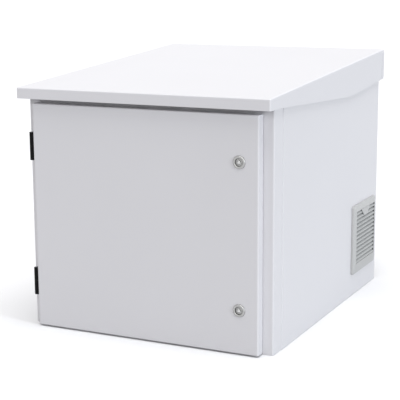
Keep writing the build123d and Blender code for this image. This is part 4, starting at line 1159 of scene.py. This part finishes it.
guard_face = box_mm("fan_guard")[0].x
screw_sides = (-screw_half, screw_half)
fan_spots = [(guard_face, fan_middle.y + y, fan_middle.z + z) for y in screw_sides for z in screw_sides]
fan_screw = on_shank(pan_head(4.2, 2.0), 1.9, 42.0)
fasteners("fan_pan_screws", "fan_screws", fan_screw, fan_spots, (-1, 0, 0))

hinge_height, hinge_screw_spread = 63.5, 8.0
frame_inside, return_inside = -338.5, -273.5
spreads = (-hinge_screw_spread, hinge_screw_spread)
rises = [middle_mm(f"{name}_pin").z + spread for name in hinge_names for spread in spreads]
foot_x, leaf_y = middle_mm("hinge_body_screws").x, middle_mm("hinge_door_screws").y
foot_spots = [(foot_x, frame_inside, rise - hinge_height / 4) for rise in rises]
foot_screw = on_shank(pan_head(4.5, 2.5), m5, 10.5)
fasteners("hinge_foot_screws", "hinge_body_screws", foot_screw, foot_spots, (0, 1, 0))
leaf_spots = [(return_inside, leaf_y, rise + hinge_height / 4) for rise in rises]
leaf_screw = on_shank(pan_head(3.6, 2.0), m4, 6.0)
fasteners("hinge_leaf_screws", "hinge_door_screws", leaf_screw, leaf_spots, (1, 0, 0))

for name in lock_names:
    low, high = box_mm(f"{name}_nut")
    lock_nut = hexagon((high.x - low.x) / 2, high.y - low.y, lock_thread_radius)
    spot = on_axis(f"{name}_nut", low.y)
    fasteners(f"{name}_hex_nut", f"{name}_nut", lock_nut, [spot], (0, 1, 0))
    low, high = box_mm(f"{name}_cam_screw")
    cam_face = box_mm(f"{name}_cam")[1].y
    cam_bolt = on_shank(hexagon((high.x - low.x) / 2, high.y - cam_face), m5, cam_face - low.y)
    spot = on_axis(f"{name}_cam_screw", cam_face)
    fasteners(f"{name}_cam_bolt", f"{name}_cam_screw", cam_bolt, [spot], (0, 1, 0))

# %% Earth studs with their threads and flange nuts
stud_radius, stud_pitch, stud_groove, stud_point = 4.0, 1.25, 0.6, 0.9
flange_nut_corner, flange_radius = 7.5, 8.0


def earth_stud(name, towards):
    low, high = box_mm(f"{name}_earth_stud")
    axis = Vector(towards)
    length = (high - low).dot(axis)
    foot = (low + high - axis * length) / 2
    profile = [(0, 0), (stud_radius, 0)]
    for turn in range(int((length - 2) / stud_pitch)):
        rise = 0.8 + turn * stud_pitch
        profile += [(stud_radius, rise), (stud_radius - stud_groove, rise + stud_pitch / 2)]
    profile += [(stud_radius, length - 1.1), (stud_radius - stud_point, length), (0, length)]
    bm = bmesh.new()
    turned(bm, profile, facing(foot, axis), 32)
    piece(f"{name}_threaded_stud", bm, f"{name}_earth_stud")
    low, high = box_mm(f"{name}_earth_nut")
    height = (high - low).dot(axis) - flange_thickness
    nut = hexagon(flange_nut_corner, height, stud_radius, flange_radius)
    spot = foot + axis * flange_thickness
    fasteners(f"{name}_flange_nut", f"{name}_earth_nut", nut, [spot], axis)


earth_stud("body", (0, 0, 1))
earth_stud("door", (0, 1, 0))

# %% [markdown]
# ## The wrap's front edges
#
# The wrap ends 47 mm behind the front frame's face, and its cut edge stands proud of the frame by
# the sheet's thickness. Under paint that edge is round, and it shows as a thin bright line down
# the cabinet's side. The CAD mesh is merged into flat panels, and its two front corners are rounded.

# %% Body wrap with rounded front edges
edge_radius = 1.1
wrap_low, wrap_high = box_mm("body_wrap")
wrap = bmesh.new()
wrap.from_mesh(frame["nodes"]["body_wrap"].data)
bmesh.ops.scale(wrap, vec=(1 / millimetre,) * 3, verts=wrap.verts)
bmesh.ops.remove_doubles(wrap, verts=wrap.verts, dist=0.001)
bmesh.ops.dissolve_limit(wrap, angle_limit=math.radians(1), verts=wrap.verts, edges=wrap.edges)
front = lying(wrap.verts, "y", wrap_low.y)
corners = lying(front, "x", wrap_low.x) + lying(front, "x", wrap_high.x)
round_off(wrap, edges_among(corners, (0, 0, 1)), edge_radius)
wrap_panels = piece("side_and_back_wrap", wrap, "body_wrap")
flat_panels = wrap_panels.modifiers.new("flat_panels", "WEIGHTED_NORMAL")
flat_panels.keep_sharp = True
